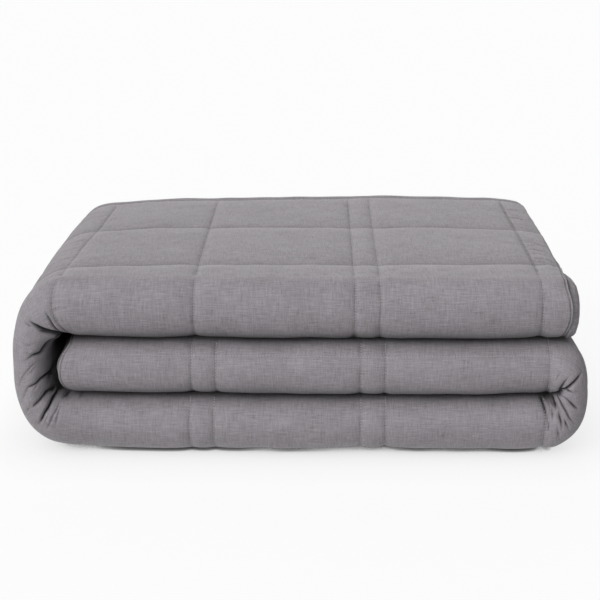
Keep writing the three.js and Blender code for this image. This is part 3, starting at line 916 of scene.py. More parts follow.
def end_shift(strip, around, y, lift):
    """How far a place near a free end stands out along the strip, and how far it droops."""
    front = front_share(y)
    share = curve_through(strip.from_end, END_TABLE["from_end"], END_TABLE["lead"])[:, None]
    on_inner = np.clip((around - FOLD_START) / FOLD_RUN, 0, 1)
    on_top = strip.end_side[:, None] > 0
    lift_lead = curve_through(lift, FRONT_LEAD["lift"], FRONT_LEAD["lead"])
    rear_lead = curve_through(y, OUTER_LEAD["y"], OUTER_LEAD["lead"])
    outer_lead = np.where(on_top, np.where(y < FRONT_TURN_Y, lift_lead, rear_lead), 0.0)
    middle_lead = curve_through(lift, DRAWN_IN["lift"], DRAWN_IN["lead"])
    front_lead = np.where(on_top, INNER_LEADS["top"], middle_lead)
    end_front = end_front_share(strip, y)
    inner_lead = lerp(INNER_LEADS["back"], front_lead, end_front)
    inner_droop = curve_through(lift, FRONT_LEAD["lift"], FRONT_LEAD["droop"])
    droop = np.where(on_top, inner_droop, 0.0) * share * on_inner * end_front
    drawn_in = curve_through(lift, DRAWN_IN["lift"], DRAWN_IN["depth"]) * front
    drawn_in = drawn_in * (1 - smoothstep(strip.from_end, 0, DRAWN_REACH))[:, None]
    out = share * lerp(outer_lead, inner_lead, on_inner) - np.where(on_top, 0.0, drawn_in)
    return strip.end_side[:, None] * out, droop


def sag(x, y, z):
    """How far the top has sunk at a place."""
    depth = curve_through(x, BACK_SAG["x"], BACK_SAG["depth"])
    along = np.clip((y - SAG_FRONT_Y) / (STACK_DEPTH - SAG_FRONT_Y), 0, 1)
    at_end = curve_through(x, END_SAG["x"], END_SAG["depth"]) * smoothstep(y, *END_SAG_REACH)
    return (depth * along + at_end * (1 - along)) * z / TOP_LEVEL


def crease_depth(x, z, creases):
    """How deep the creases are at places of the front, seen from the front."""
    depth = np.zeros_like(x)
    for _, above, below, points in creases:
        points = np.array(points, float)
        nearest = np.full_like(x, np.inf)
        most = np.zeros_like(x)
        higher = np.zeros(x.shape, bool)
        for start, end in zip(points[:-1], points[1:]):
            length = math.dist(start[:2], end[:2])
            way = (end[:2] - start[:2]) / length
            right, up = x - start[0], z - start[1]
            along = np.clip(right * way[0] + up * way[1], 0, length)
            right, up = right - along * way[0], up - along * way[1]
            gap = np.hypot(right, up)
            closer = gap < nearest
            most = np.where(closer, lerp(start[2], end[2], along / length), most)
            over = up * abs(way[0]) + CREASE_TIE > right * way[1] * np.sign(way[0])
            higher = np.where(closer, over, higher)
            nearest = np.minimum(gap, nearest)
        depth = np.maximum(depth, most * np.exp(-nearest / np.where(higher, above, below)))
    return depth


def creases_at(strip, points):
    """How deep each place of the outer face lies in a crease of the bends."""
    depth = np.zeros(points.shape[:2])
    front = front_share(points[..., 1])
    for name, creases in (("left bend", LEFT_CREASES), ("right bend", RIGHT_CREASES)):
        start = PART_START[name]
        end = start + PARTS[name].length
        near = (strip.travel > start - CREASE_MARGIN) & (strip.travel < end + CREASE_MARGIN)
        depth[near] += crease_depth(points[near][..., 0], points[near][..., 2], creases)
    return depth * front


def outer_relief(strip, around):
    """How far the outer face stands out beyond its plain puffs: unevenness and hem lines."""
    travel = strip.travel[:, None]
    relief = 0.0
    for height, wavelength, seed, along in UNEVENNESS:
        relief = relief + height * ripples(travel, around, wavelength, seed, along)
    height, wavelength, seed, share, reach = PUCKERS
    near_seam = np.exp(-strip.nearest_seam() / reach)[:, None]
    relief = relief + height * near_seam * ripples(share * travel, around, wavelength, seed)
    groove_place, groove_width, groove_depth = RIM_GROOVE
    groove = groove_depth * np.exp(-(((strip.from_end - groove_place) / groove_width) ** 2))[:, None]
    return relief - groove * (around < FOLD_START)


def pulls_at(strip, points):
    """How deep the pulls of the cloth are beside the end of the top and on its left shoulder."""
    x, y, z = (points[..., axis] for axis in range(3))
    at_end = smoothstep(x, *PULL_REACH[:2]) * (1 - smoothstep(x, *PULL_REACH[2:]))
    at_end = at_end * smoothstep(z, *PULL_LEVELS)
    past = (strip.travel - strip_travel("left bend", SHOULDER_SEAM))[:, None]
    turned = smoothstep(past, *SHOULDER_PULL_REACH[:2]) * (1 - smoothstep(past, *SHOULDER_PULL_REACH[2:]))
    turned = turned * (y > FRONT_ZONE / 2)
    curve = PULL_CURVE * np.clip((x - PULL_REACH[0]) / (TOP_END - PULL_REACH[0]), 0, PULL_PAST) ** 2
    depth = 0.0
    for place, ended, shouldered in END_PULLS:
        line = np.exp(-(((y + curve - place) / PULL_WIDTH) ** 2))
        depth = depth + line * (ended * at_end + shouldered * turned)
    return depth


def zip_lines(first, first_at, second, second_at):
    """Triangles between two lines of vertices, each in the order of its growing places."""
    triangles = []
    a, b = 0, 0
    while a < len(first) - 1 or b < len(second) - 1:
        on_first = b == len(second) - 1
        if not on_first and a < len(first) - 1:
            on_first = first_at[a + 1] + first_at[a] <= second_at[b + 1] + second_at[b]
        if on_first:
            triangles.append((first[a], first[a + 1], second[b]))
            a += 1
        else:
            triangles.append((first[a], second[b + 1], second[b]))
            b += 1
    return triangles


class Patchwork:
    """The triangles of the closed cloth, from patches of stations and rows.

    Face 0 is the outer face of the cloth and face 1 the inner one."""

    inner_kinds = frozenset({"every"})
    few_step = 6
    end_zone = 45.0
    past = 0.1

    def __init__(self, strip, rows):
        self.travel = strip.travel.tolist()
        self.around = rows.around.tolist()
        self.kinds = rows.kind
        self.row_kinds = strip.row_kinds()
        self.triangles = []
        self.most = list(range(len(self.travel)))
        self.some = [i for i in self.most if not strip.extra[i]]
        ends = (0, self.most[-1])
        near_end = {i for i in self.some if strip.from_end[i] < self.end_zone}
        self.few = sorted(set(self.some[:: self.few_step]) | near_end | set(ends))
        marks = (-QUARTER - self.past, rows.leg_start + self.past, INNER_START + self.past)
        bounds = [0, *np.searchsorted(rows.around, marks).tolist(), len(self.around)]
        self.spans = tuple(zip(bounds[:-1], bounds[1:]))
        self.make()

    def vertex(self, face, i, j):
        return (face * len(self.travel) + i) * len(self.around) + j

    def columns(self, face, i, span):
        kinds = self.inner_kinds if face else self.row_kinds[i]
        return [j for j in range(*span) if self.kinds[j] in kinds]

    def line(self, face, i, span):
        columns = self.columns(face, i, span)
        return [self.vertex(face, i, j) for j in columns], [self.around[j] for j in columns]

    def row(self, face, j, stations):
        return [self.vertex(face, i, j) for i in stations], [self.travel[i] for i in stations]

    def join(self, first, second, turned):
        made = zip_lines(*first, *second)
        self.triangles += [(a, c, b) for a, b, c in made] if turned else made

    def patch(self, face, stations, span):
        for i, k in zip(stations[:-1], stations[1:]):
            self.join(self.line(face, i, span), self.line(face, k, span), turned=face == 1)

    def make(self):
        whole = (0, len(self.around))
        sets = (self.few, self.most, self.some, self.few)
        for span, stations in zip(self.spans, sets):
            self.patch(0, stations, span)
        for span, beyond, before, after in zip(self.spans[:-1], self.spans[1:], sets[:-1], sets[1:]):
            self.join(self.row(0, span[1] - 1, before), self.row(0, beyond[0], after), turned=True)
        self.patch(1, self.few, whole)
        last_row = whole[1] - 1
        self.join(self.row(0, 0, self.few), self.row(1, 0, self.few), turned=False)
        self.join(self.row(0, last_row, self.few), self.row(1, last_row, self.few), turned=True)
        for end, turned in ((0, True), (self.most[-1], False)):
            self.join(self.line(0, end, whole), self.line(1, end, whole), turned)


def in_frame(points):
    """Millimetres from the front edge turned into metres in the frame."""
    moved = points - np.array((*STACK_MIDDLE, 0.0))
    return moved * MM


def cloth_object(sizes):
    """The folded cloth as one closed mesh, with its weave map and its seam distances."""
    strip, rows = Strip(), Rows()
    outer, inner, around, crease = surface_points(strip, rows, sizes)
    work = Patchwork(strip, rows)
    points = in_frame(np.concatenate((outer.reshape(-1, 3), inner.reshape(-1, 3))))
    used, corners = np.unique(np.array(work.triangles), return_inverse=True)
    mesh = bpy.data.meshes.new("folded_cloth")
    mesh.from_pydata(points[used], [], corners.reshape(-1, 3))
    mesh.shade_smooth()
    shape = (len(strip.travel), len(rows.around))
    travel = np.broadcast_to(strip.travel[:, None], shape).reshape(-1)
    weave = np.stack((travel, around.reshape(-1)), axis=-1) * MM
    weave = np.concatenate((weave, weave))[used]
    layer = mesh.uv_layers.new(name="weave")
    layer.data.foreach_set("uv", weave[corners.reshape(-1)].astype(np.float32).reshape(-1))
    # Numbers per point for the material: the seam gap and the crease depth set painted shade, and the tone
    # by the seams sets painted shade and light.
    measures = {
        "seam_gap": seam_gaps(strip, rows),
        "seam_tone": paint_light_shade_by_seams(strip, rows),
        "crease": crease,
    }
    for name, values in measures.items():
        both = np.concatenate((values.reshape(-1), values.reshape(-1)))[used]
        attribute = mesh.attributes.new(name, "FLOAT", "POINT")
        attribute.data.foreach_set("value", both.astype(np.float32))
    cloth = bpy.data.objects.new("quilt_cloth", mesh)
    bpy.context.scene.collection.objects.link(cloth)
    return cloth, seam_lines(strip, rows, outer, crease > HIDING_CREASE)


def seam_gaps(strip, rows):
    """The distance of each place of the cloth to its nearest seam or hem line, in millimetres, which sets
    the painted shade of a seam's tuck.
    """
    drifted = drifted_share(strip)
    gap = strip.nearest_seam()[:, None] + 0 * rows.around
    along = np.abs(rows.around - rows.seams[0])[None, :] + 0 * gap
    gap = np.where((drifted < 0.5)[:, None], np.minimum(gap, along), gap)
    for place in rows.seams[1:]:
        gap = np.minimum(gap, np.abs(rows.around - place)[None, :])
    # The hem line counts as a seam, so it gets the painted shade of a seam's tuck too.
    rim = np.abs(strip.from_end - RIM_GROOVE[0])[:, None] + RIM_GAPS[0]
    rim = rim + RIM_GAPS[1] * (rows.around > FOLD_START)
    return np.minimum(gap, rim)


def paint_light_shade_by_seams(strip, rows):
    """Painted shade and light by the lengthwise seams of the upper side: -1 just behind one, 1 just before
    it, and less far away, less the painted dark lines of seams.
    """
    tone = np.zeros_like(rows.around)
    for place in rows.seams:
        before = place - rows.around
        reach = np.where(before < 0, *SEAM_PAINT_REACH)
        tone += np.sign(before) * np.exp(-np.abs(before) / reach)
    tone = np.clip(tone, -1, 1)[None, :] * on_upper_side(strip)[:, None]
    return tone - painted_seam_line_shade(strip, rows)


def on_upper_side(strip):
    """1 on the top, and falling to 0 where the strip turns down at its left bend."""
    turned = 1 - smoothstep(strip.at, *TURNED_DOWN)
    return strip.is_on("top") + strip.is_on("left bend") * turned


def painted_seam_line_shade(strip, rows):
    """How dark the painted lines of shade along the seams are near the end of the top and on its left
    shoulder.
    """
    beside = smoothstep(strip.at, *LINE_PLACES["end"]) * strip.is_on("top") * LINE_DARKNESS["end"]
    start, end = LINE_PLACES["shoulder"]
    turned = smoothstep(strip.at, *start) * (1 - smoothstep(strip.at, *end))
    beside = beside + turned * strip.is_on("left bend") * LINE_DARKNESS["shoulder"]
    along = np.zeros_like(rows.around)
    for place in rows.seams[:2]:
        along += np.exp(-(((rows.around - place) / LINE_WIDTH) ** 2))
    across = np.exp(-(((strip.travel - strip.seams[0]) / LINE_WIDTH) ** 2))
    start, end = LINE_PLACES["cross"]
    shown = smoothstep(rows.around, *start) * (1 - smoothstep(rows.around, *end))
    crossing = LINE_DARKNESS["cross"] * across[:, None] * shown[None, :]
    return np.maximum(crossing, beside[:, None] * along[None, :])


def seam_lines(strip, rows, outer, hidden):
    """The seams that show, as lists of points and of the way out of the cloth there."""
    along = np.gradient(outer, axis=0)
    round_it = np.gradient(outer, axis=1)
    outwards = np.cross(round_it, along)
    outwards /= np.maximum(np.linalg.norm(outwards, axis=-1, keepdims=True), 1e-9)
    lines = []
    kinds = strip.row_kinds()
    for seam in strip.seams:
        i = int(np.abs(strip.travel - seam).argmin())
        last = FOLD_START + FOLD_RUN / 2 if "shown" in kinds[i] else QUARTER * STITCHED_TURN
        there = np.array([kind in kinds[i] for kind in rows.kind])
        shown = (rows.around > -QUARTER * STITCHED_TURN) & (rows.around < last)
        places = np.flatnonzero(there & shown)
        for run in runs_of(~hidden[i, places]):
            lines.append((outer[i, places[run]], outwards[i, places[run]]))
    drifted = drifted_share(strip)
    foot = PART_START["bottom"]
    shown_legs = (strip.travel < foot + STITCHED_PAST[1]) | strip.is_on("right bend")
    for number, place in enumerate([*rows.seams, FRONT_SEAM]):
        j = int(np.abs(rows.around - place).argmin())
        if place == FRONT_SEAM:
            chosen = (drifted > 0.5) & (strip.travel > PART_START["right bend"] - STITCHED_PAST[2])
        else:
            chosen = (strip.travel < foot + STITCHED_PAST[0]) if number == 0 else shown_legs
        for run in runs_of(chosen & ~hidden[:, j]):
            lines.append((outer[run, j], outwards[run, j]))
    return [(in_frame(points), ways) for points, ways in lines if len(points) > 1]


def runs_of(chosen):
    """The unbroken runs of chosen places."""
    places = np.flatnonzero(chosen)
    return np.split(places, np.flatnonzero(np.diff(places) > 1) + 1)


def seam_lines_object(lines):
    """Makes the seams a mesh of edges that holds the way out of the cloth at each point."""
    points = np.concatenate([line for line, _ in lines])
    ways = np.concatenate([way for _, way in lines])
    edges = []
    start = 0
    for line, _ in lines:
        edges += [(start + n, start + n + 1) for n in range(len(line) - 1)]
        start += len(line)
    mesh = bpy.data.meshes.new("seam_lines")
    mesh.from_pydata(points, edges, [])
    attribute = mesh.attributes.new("way_out", "FLOAT_VECTOR", "POINT")
    attribute.data.foreach_set("vector", ways.astype(np.float32).reshape(-1))
    made = bpy.data.objects.new("quilt_stitches", mesh)
    bpy.context.scene.collection.objects.link(made)


class Term:
    """What a node gives, so that the maths of nodes reads like maths."""

    def __init__(self, maker, socket):
        self.maker = maker
        self.socket = socket

    def out(self, name):
        """What the same node gives at another of its outputs."""
        return Term(self.maker, self.socket.node.outputs[name])

    def join(self, operation, first, second):
        return self.maker.add("ShaderNodeMath", {"operation": operation}, {0: first, 1: second})

    def __add__(self, other):
        return self.join("ADD", self, other)

    def __sub__(self, other):
        return self.join("SUBTRACT", self, other)

    def __rsub__(self, other):
        return self.join("SUBTRACT", other, self)

    def __mul__(self, other):
        return self.join("MULTIPLY", self, other)

    def __pow__(self, other):
        return self.join("POWER", self, other)

    __radd__ = __add__
    __rmul__ = __mul__


class NodeMaker:
    """Makes the nodes of one tree."""

    def __init__(self, tree):
        self.tree = tree

    def add(self, kind, settings=None, inputs=None, output=0):
        """A node of that kind, as the term of one of its outputs."""
        node = self.tree.nodes.new(kind)
        for name, value in (settings or {}).items():
            setattr(node, name, value)
        for key, value in (inputs or {}).items():
            self.give(node.inputs[key], value)
        return Term(self, node.outputs[output]) if node.outputs else node

    def give(self, socket, value):
        """Links a socket to a term, or sets it to a value."""
        if isinstance(value, Term):
            self.tree.links.new(value.socket, socket)
        else:
            socket.default_value = value


class Shader(NodeMaker):
    """Makes the nodes of one material."""

    def __init__(self, name):
        self.material = bpy.data.materials.new(name)
        self.material.use_nodes = True
        super().__init__(self.material.node_tree)
        self.tree.nodes.clear()

    def pattern(self, vector, u, v, turn=0.0, detail=2.0, roughness=0.5):
        """Noise on a vector, with lengths u and v in metres, from another place for each turn."""
        inputs = {"Vector": vector, "Scale": (1 / u, 1 / v, 1.0), "Location": (turn, turn, turn)}
        rescaled = self.add("ShaderNodeMapping", None, inputs)
        inputs = {"Vector": rescaled, "Scale": 1.0, "Detail": detail, "Roughness": roughness}
        return self.add("ShaderNodeTexNoise", {"noise_dimensions": "3D"}, inputs)

    def measured(self, name):
        """A number that the mesh holds for each of its points."""
        return self.add("ShaderNodeAttribute", {"attribute_name": name}, output=2)

    def ramp(self, value, start, end):
        """From 0 at the start to 1 at the end, smoothly."""
        inputs = {"Value": value, "From Min": start, "From Max": end, "To Min": 0.0, "To Max": 1.0}
        return self.add("ShaderNodeMapRange", {"interpolation_type": "SMOOTHSTEP"}, inputs)

    def mixed(self, share, first, second):
        return self.add("ShaderNodeMix", {"data_type": "RGBA"}, {0: share, 6: first, 7: second}, 2)

    def open_sky(self, samples, reach):
        """1 in the open, and less where something stands within reach."""
        return self.add("ShaderNodeAmbientOcclusion", {"samples": samples}, {"Distance": reach}, 1)

    def finish(self, surface):
        self.add("ShaderNodeOutputMaterial", None, {"Surface": surface})
        return self.material


def scaled(colour, factor):
    return (*(channel * factor for channel in colour), 1.0)


def cloth_material(finish):
    """Slubbed grey cloth: streaks of thick thread both ways, a fine weave and soft mottling, with painted
    shade in seams, creases, gaps and hollows, and painted light before lengthwise seams.
    """
    shader = Shader("heathered cloth")
    weave = shader.add("ShaderNodeUVMap", {"uv_map": "weave"})
    woven = {name: shader.pattern(weave, *row) for name, row in WEAVE.items()}
    streak_along, streak_round = woven["streak along"], woven["streak round"]
    grain, mottle = woven["grain"], woven["mottle"]
    slub = shader.ramp(woven["slub"], *RAMPS["slub"])
    dark_slub = shader.ramp(woven["dark slub"], *RAMPS["dark slub"])
    # Painted shade in the tuck of a seam, and at the bottom of a crease.
    painted_tuck_shade = shader.ramp(shader.measured("seam_gap"), *RAMPS["tuck"])
    painted_crease_shade = shader.ramp(shader.measured("crease"), *RAMPS["crease"])
    streaks = streak_along * finish.streak_along + streak_round * finish.streak_round
    tone = streaks + grain * finish.grain + mottle * finish.mottle + (slub - dark_slub) * finish.slub
    middle = 0.5 * (finish.streak_along + finish.streak_round + finish.grain + finish.mottle)
    # Painted shade behind the lengthwise seams and painted light before them, less painted dark lines of
    # shade along some seams.
    rescaled = shader.measured("seam_tone") * finish.seam_paint_strength
    share = tone - middle + 0.5 - painted_tuck_shade * finish.seam_shade + rescaled
    lit = shader.mixed(share, *(scaled(finish.cloth, tone) for tone in CLOTH_TONES))
    # Painted shade in gaps and hollows where other cloth stands near, and in creases, mixed towards a dark
    # copy of the cloth.
    shaded = (1 - shader.open_sky(CLOTH_SAMPLES, finish.shade_reach)) * finish.shade
    hollow = scaled(finish.cloth, FULL_SHADE_TONE)
    colour = shader.mixed(painted_crease_shade * finish.crease_shade, shader.mixed(shaded, lit, hollow), hollow)
    height = streak_along * STREAK_HEIGHT + streak_round * STREAK_HEIGHT + grain * GRAIN_HEIGHT
    inputs = {"Strength": finish.relief, "Distance": RELIEF_HEIGHT, "Height": height}
    bump = shader.add("ShaderNodeBump", None, inputs)
    cloth = shader.add(
        "ShaderNodeBsdfPrincipled",
        None,
        {
            "Base Color": colour,
            "Roughness": 0.92,
            "Specular IOR Level": 0.25,
            "Sheen Weight": finish.sheen,
            "Sheen Roughness": 0.45,
            "Normal": bump,
        },
    )
    return shader.finish(cloth)


def thread_material(finish):
    """Sewing thread in the colour of the cloth, a little lighter and smoother."""
    shader = Shader("sewing thread")
    place = shader.add("ShaderNodeTexCoord", output=3)
    twist = shader.pattern(place, *THREAD_TWIST)
    colour = shader.mixed(twist, *(scaled(finish.thread, tone) for tone in THREAD_TONES))
    thread = shader.add(
        "ShaderNodeBsdfPrincipled",
        None,
        {"Base Color": colour, "Roughness": 0.6, "Specular IOR Level": 0.4, "Sheen Weight": 0.2},
    )
    return shader.finish(thread)


def floor_material(studio):
    """A pale floor that glows as an overexposed sweep of paper does, but for its soft shadow and dark
    contact line, which are painted shadow where cloth stands near.
    """
    shader = Shader("pale paper")
    place = shader.add("ShaderNodeTexCoord", output=3)
    fibre = shader.pattern(place, *FLOOR_FIBRE)
    tone = (studio.floor_tone,) * 3
    colour = shader.mixed(fibre, scaled(tone, 1), scaled(tone, FIBRE_TONE))
    paper = shader.add("ShaderNodeBsdfDiffuse", None, {"Color": colour})
    # Painted shadow: the glow is dimmer where cloth stands near, most in a thin contact line.
    near = shader.open_sky(FLOOR_SAMPLES, studio.contact_reach)
    wide = shader.open_sky(FLOOR_SAMPLES, studio.shadow_reach)
    strength = near**studio.contact * wide**studio.shadow * studio.floor_glow
    glow = shader.add("ShaderNodeEmission", None, {"Color": (1.0, 1.0, 1.0, 1.0), "Strength": strength})
    both = shader.add("ShaderNodeMixShader", None, {0: studio.glow_share, 1: paper, 2: glow})
    return shader.finish(both)


class StitchTree(NodeMaker):
    """Geometry Nodes that lay stitches along lines, each on the cloth and along its seam."""

    sizes = ("Pitch", "Length", "Width", "Height", "Sink")
    wobble = 0.06
    bead = {"Segments": 6, "Rings": 4, "Radius": 0.5}

    def __init__(self, material):
        super().__init__(bpy.data.node_groups.new("Stitches along seams", "GeometryNodeTree"))
        self.socket("Geometry", "Geometry")
        for name in self.sizes:
            self.socket(name, "Float").subtype = "DISTANCE"
        self.socket("Wobble", "Float").default_value = self.wobble
        self.socket("Seed", "Int")
        self.socket("Geometry", "Geometry", "OUTPUT")
        self.build(material)

    def socket(self, name, kind, side="INPUT"):
        return self.tree.interface.new_socket(name, in_out=side, socket_type="NodeSocket" + kind)

    def build(self, material):
        given = self.add("NodeGroupInput")
        curves = self.add("GeometryNodeMeshToCurve", None, {0: given})
        lengths = {"Curve": curves, "Length": given.out("Pitch")}
        spaced = self.add("GeometryNodeResampleCurve", {"mode": "LENGTH"}, lengths)
        vector = {"data_type": "FLOAT_VECTOR"}
        way_out = self.add("GeometryNodeInputNamedAttribute", vector, {"Name": "way_out"})
        tangent = self.add("GeometryNodeInputTangent")
        along = self.add("FunctionNodeAlignRotationToVector", {"axis": "X"}, {"Vector": tangent})
        round_it = {"axis": "Z", "pivot_axis": "X"}
        facing = {"Rotation": along, "Vector": way_out}
        up = self.add("FunctionNodeAlignRotationToVector", round_it, facing)
        limits = {2: 0.0, 3: given.out("Wobble"), "Seed": given.out("Seed")}
        wobble = self.add("FunctionNodeRandomValue", {"data_type": "FLOAT"}, limits, 1)
        turn = {"Axis": (0.0, 0.0, 1.0), "Angle": wobble}
        turned = self.add("FunctionNodeAxisAngleToRotation", None, turn)
        local = {"rotation_space": "LOCAL"}
        rotation = self.add("FunctionNodeRotateRotation", local, {0: up, 1: turned})
        measures = {number: given.out(name) for number, name in enumerate(self.sizes[1:4])}
        size = self.add("ShaderNodeCombineXYZ", None, measures)
        bead = self.add("GeometryNodeMeshUVSphere", None, self.bead)
        stitch = self.add("GeometryNodeTransform", None, {"Geometry": bead, "Scale": size})
        down = {0: way_out, 3: given.out("Sink") * -1.0}
        sunk = self.add("ShaderNodeVectorMath", {"operation": "SCALE"}, down)
        placed = self.add("GeometryNodeSetPosition", None, {"Geometry": spaced, "Offset": sunk})
        copied = {"Points": placed, "Instance": stitch, "Rotation": rotation}
        copies = self.add("GeometryNodeInstanceOnPoints", None, copied)
        real = self.add("GeometryNodeRealizeInstances", None, {"Geometry": copies})
        smooth = self.add("GeometryNodeSetShadeSmooth", None, {0: real})
        dyed = {"Geometry": smooth, "Material": material}
        self.add("NodeGroupOutput", None, {0: self.add("GeometryNodeSetMaterial", None, dyed)})

    def identifier(self, name):
        for item in self.tree.interface.items_tree:
            if item.name == name and item.in_out == "INPUT":
                return item.identifier
        raise KeyError(name)


def apply_to(made, modifier):
    """Gives the object its evaluated mesh and takes the modifier off."""
    bpy.context.view_layer.update()
    seen = made.evaluated_get(bpy.context.evaluated_depsgraph_get())
    mesh = bpy.data.meshes.new_from_object(seen)
    made.modifiers.remove(modifier)
    made.data = mesh


def a_number(name, description, default, **kind):
    return FloatProperty(name=name, description=description, default=default, **kind)


def a_length(name, description, default):
    return a_number(name, description, default, unit="LENGTH")


def a_share(name, description, default):
    return a_number(name, description, default, subtype="FACTOR")


def a_colour(name, description, default):
    return FloatVectorProperty(name=name, description=description, default=default, subtype="COLOR")


class ClothSizes(bpy.types.PropertyGroup):
    crown_thickness: a_length("Crown thickness", "Thickness of the cloth in a puff", 0.0166)
    seam_thickness: a_length("Seam thickness", "Thickness of the cloth at a seam", 0.0098)
    groove_width: a_length("Groove width", "How fast a puff rises beside a seam", 0.0048)
    crown_reach: a_length("Crown reach", "How far from a seam a puff is full", 0.022)
    crown_share: a_share("Crown share", "Share of the puff that rises slowly", 0.3)


class StitchSizes(bpy.types.PropertyGroup):
    pitch: a_length("Pitch", "From one stitch to the next", 0.0035)
    length: a_length("Length", "Length of a stitch", 0.0024)
    width: a_length("Width", "Width of the thread", 0.0012)
    height: a_length("Height", "Height of a stitch", 0.0008)
    sink: a_length("Sink", "How deep the middle of a stitch lies", 0.00005)
    seed: IntProperty(name="Seed", description="Seed of the uneven stitches", default=7)


class ClothFinish(bpy.types.PropertyGroup):
    cloth: a_colour("Cloth", "Colour of the cloth", (0.292, 0.272, 0.292))
    thread: a_colour("Thread", "Colour of the thread", (0.36, 0.342, 0.36))
    streak_along: a_share("Streaks along", "Strength of slubs along the strip", 0.62)
    streak_round: a_share("Streaks round", "Strength of slubs across it", 0.5)
    grain: a_share("Grain", "Strength of the fine grain", 0.4)
    slub: a_share("Slubs", "Strength of the thick and thin threads", 0.08)
    mottle: a_share("Mottle", "Strength of the soft mottling", 0.2)
    # The next five settings paint shade into the cloth's colour: in seam tucks, behind lengthwise seams
    # with painted light before them, in creases, and in gaps and hollows.
    seam_shade: a_share("Seam shade", "How much darker the tuck of a seam is", 0.07)
    seam_paint_strength: a_share("Seam light", "How much paler the cloth before a lengthwise seam is", 0.14)
    crease_shade: a_share("Crease shade", "How much darker the bottom of a crease is", 0.85)
    shade: a_share("Shade", "How much darker the cloth is in gaps and hollows", 0.7)
    shade_reach: a_length("Shade reach", "How far from other cloth it is darker", 0.035)
    relief: a_share("Relief", "Strength of the weave's relief", 0.6)
    sheen: a_share("Sheen", "Soft shine of the fibres", 0.2)


class StudioSettings(bpy.types.PropertyGroup):
    floor_tone: a_share("Floor tone", "How pale the floor is", 0.9)
    floor_glow: a_number("Floor glow", "Brightness of the glow of the floor", 1.0)
    glow_share: a_share("Glow share", "Share of the glow in the floor", 0.9)
    # The shadow and the contact line on the floor are painted shadow in its glow.
    shadow: a_number("Shadow", "How dark the soft shadow on the floor is", 0.15)
    shadow_reach: a_length("Shadow reach", "How far the soft shadow goes", 0.08)
    contact: a_number("Contact", "How dark the floor is right beside the cloth", 1.8)
    contact_reach: a_length("Contact reach", "How far that dark line goes", 0.0046)
    dome: a_number("Dome", "Brightness of the light from above", 0.01)
    bounce: a_number("Bounce", "Brightness of the light off the floor", 1.45)
    key: a_number("Key", "Strength of the main light", 1.89)
    high: a_number("High", "Strength of the higher light beside it", 0.84)
    side: a_number("Side", "Strength of the light from the side", 0.68)
    behind: a_number("Behind", "Strength of the light from behind", 0.79)
    front: a_number("Front", "Strength of the light from the front", 0.7)
    fill: a_number("Fill", "Strength of the low light from the right", 0.7)
    lens: a_number("Lens", "Lens of the camera in millimetres", 85.8)


class BEDSPREAD_OT_cloth(bpy.types.Operator):
    """Makes the folded cloth and the lines of its seams"""

    bl_idname = "bedspread.cloth"
    bl_label = "Folded cloth"

    def execute(self, context):
        scene = context.scene
        cloth, lines = cloth_object(scene.bedspread_cloth)
        cloth.data.materials.append(cloth_material(scene.bedspread_finish))
        seam_lines_object(lines)
        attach(cloth, BODY)
        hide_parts(NODE)
        return {"FINISHED"}


class BEDSPREAD_OT_stitches(bpy.types.Operator):
    """Lays stitches along the seams of the folded cloth"""

    bl_idname = "bedspread.stitches"
    bl_label = "Stitches"

    def execute(self, context):
        sizes = context.scene.bedspread_stitches
        stitches = bpy.data.objects["quilt_stitches"]
        tree = StitchTree(thread_material(context.scene.bedspread_finish))
        modifier = stitches.modifiers.new("stitches", "NODES")
        modifier.node_group = tree.tree
        for name in (*tree.sizes, "Seed"):
            modifier[tree.identifier(name)] = getattr(sizes, name.lower())
        apply_to(stitches, modifier)
        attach(stitches, BODY)
        return {"FINISHED"}


def add_sun(name, strength, angle, direction):
    """A soft light that stands in the given direction, as wide as the angle in degrees."""
    light = bpy.data.lights.new(name, "SUN")
    light.energy = strength
    light.angle = math.radians(angle)
    sun = bpy.data.objects.new(name, light)
    sun.rotation_euler = (-Vector(direction)).to_track_quat("-Z", "Y").to_euler()
    bpy.context.scene.collection.objects.link(sun)


def white_room(studio):
    """Soft light all round, most of it thrown back by the pale floor."""
    world = bpy.data.worlds.new("white room")
    world.use_nodes = True
    maker = NodeMaker(world.node_tree)
    parts = maker.add("ShaderNodeSeparateXYZ", None, {0: maker.add("ShaderNodeTexCoord")}, 2)
    low, high = WORLD_HORIZON
    limits = {"From Min": low, "From Max": high, "To Min": studio.bounce, "To Max": studio.dome}
    level = maker.add("ShaderNodeMapRange", None, {"Value": parts, **limits})
    background = world.node_tree.nodes["Background"].inputs
    maker.give(background["Color"], (1.0, 1.0, 1.0, 1.0))
    maker.give(background["Strength"], level)
    return world


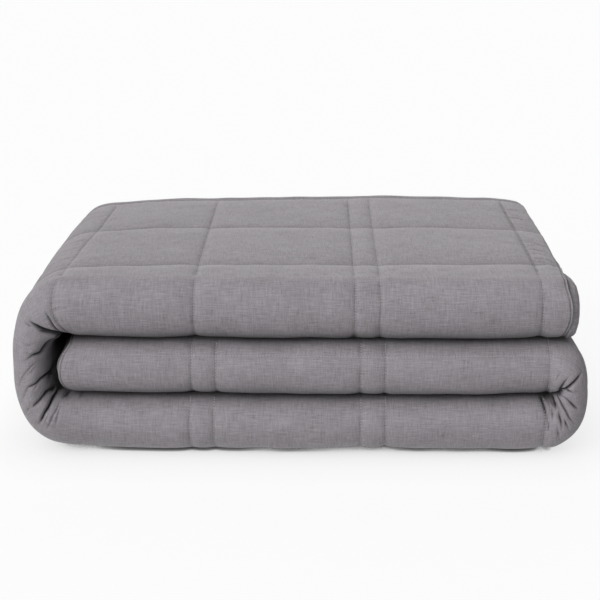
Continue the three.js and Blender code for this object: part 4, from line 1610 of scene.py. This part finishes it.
class BEDSPREAD_OT_studio(bpy.types.Operator):
    """Makes the pale floor, the soft light and the camera"""

    bl_idname = "bedspread.studio"
    bl_label = "Studio"

    def execute(self, context):
        scene = context.scene
        studio = scene.bedspread_studio
        half = FLOOR_SIZE / 2
        mesh = bpy.data.meshes.new("floor")
        corners = [(-half, -half, 0), (half, -half, 0), (half, half, 0), (-half, half, 0)]
        mesh.from_pydata(corners, [], [(0, 1, 2, 3)])
        mesh.materials.append(floor_material(studio))
        floor = bpy.data.objects.new("floor", mesh)
        scene.collection.objects.link(floor)
        floor.visible_diffuse = False
        floor.visible_glossy = False
        floor.visible_shadow = False
        for name, (setting, angle, direction) in LIGHTS.items():
            add_sun(name, getattr(studio, setting), angle, direction)
        scene.world = white_room(studio)
        scene.view_settings.view_transform = "Standard"
        lens = bpy.data.cameras.new("camera")
        lens.lens = studio.lens
        lens.sensor_width = SENSOR_WIDTH
        camera = bpy.data.objects.new("camera", lens)
        camera.location = CAMERA_PLACE
        camera.rotation_euler = [math.radians(angle) for angle in CAMERA_TURN]
        scene.collection.objects.link(camera)
        scene.camera = camera
        return {"FINISHED"}


class BEDSPREAD_PT_panel(bpy.types.Panel):
    """Lists what makes the bedspread"""

    bl_label = "Bedspread"
    bl_idname = "BEDSPREAD_PT_panel"
    bl_space_type = "VIEW_3D"
    bl_region_type = "UI"
    bl_category = "Bedspread"

    def draw(self, context):
        for name, group in SETTINGS.items():
            box = self.layout.box()
            for setting in group.__annotations__:
                box.prop(getattr(context.scene, name), setting)
        for operator in OPERATORS:
            self.layout.operator(operator.bl_idname)


SETTINGS = {
    "bedspread_cloth": ClothSizes,
    "bedspread_stitches": StitchSizes,
    "bedspread_finish": ClothFinish,
    "bedspread_studio": StudioSettings,
}
OPERATORS = (BEDSPREAD_OT_cloth, BEDSPREAD_OT_stitches, BEDSPREAD_OT_studio)


def register():
    for kind in (*SETTINGS.values(), *OPERATORS, BEDSPREAD_PT_panel):
        bpy.utils.register_class(kind)
    for name, group in SETTINGS.items():
        setattr(bpy.types.Scene, name, PointerProperty(type=group))


def unregister():
    for name in SETTINGS:
        delattr(bpy.types.Scene, name)
    for kind in (BEDSPREAD_PT_panel, *reversed(OPERATORS), *reversed(SETTINGS.values())):
        bpy.utils.unregister_class(kind)


def main():
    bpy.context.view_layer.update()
    register()
    bpy.ops.bedspread.cloth()
    bpy.ops.bedspread.stitches()
    bpy.ops.bedspread.studio()


if __name__ == "__main__":
    main()
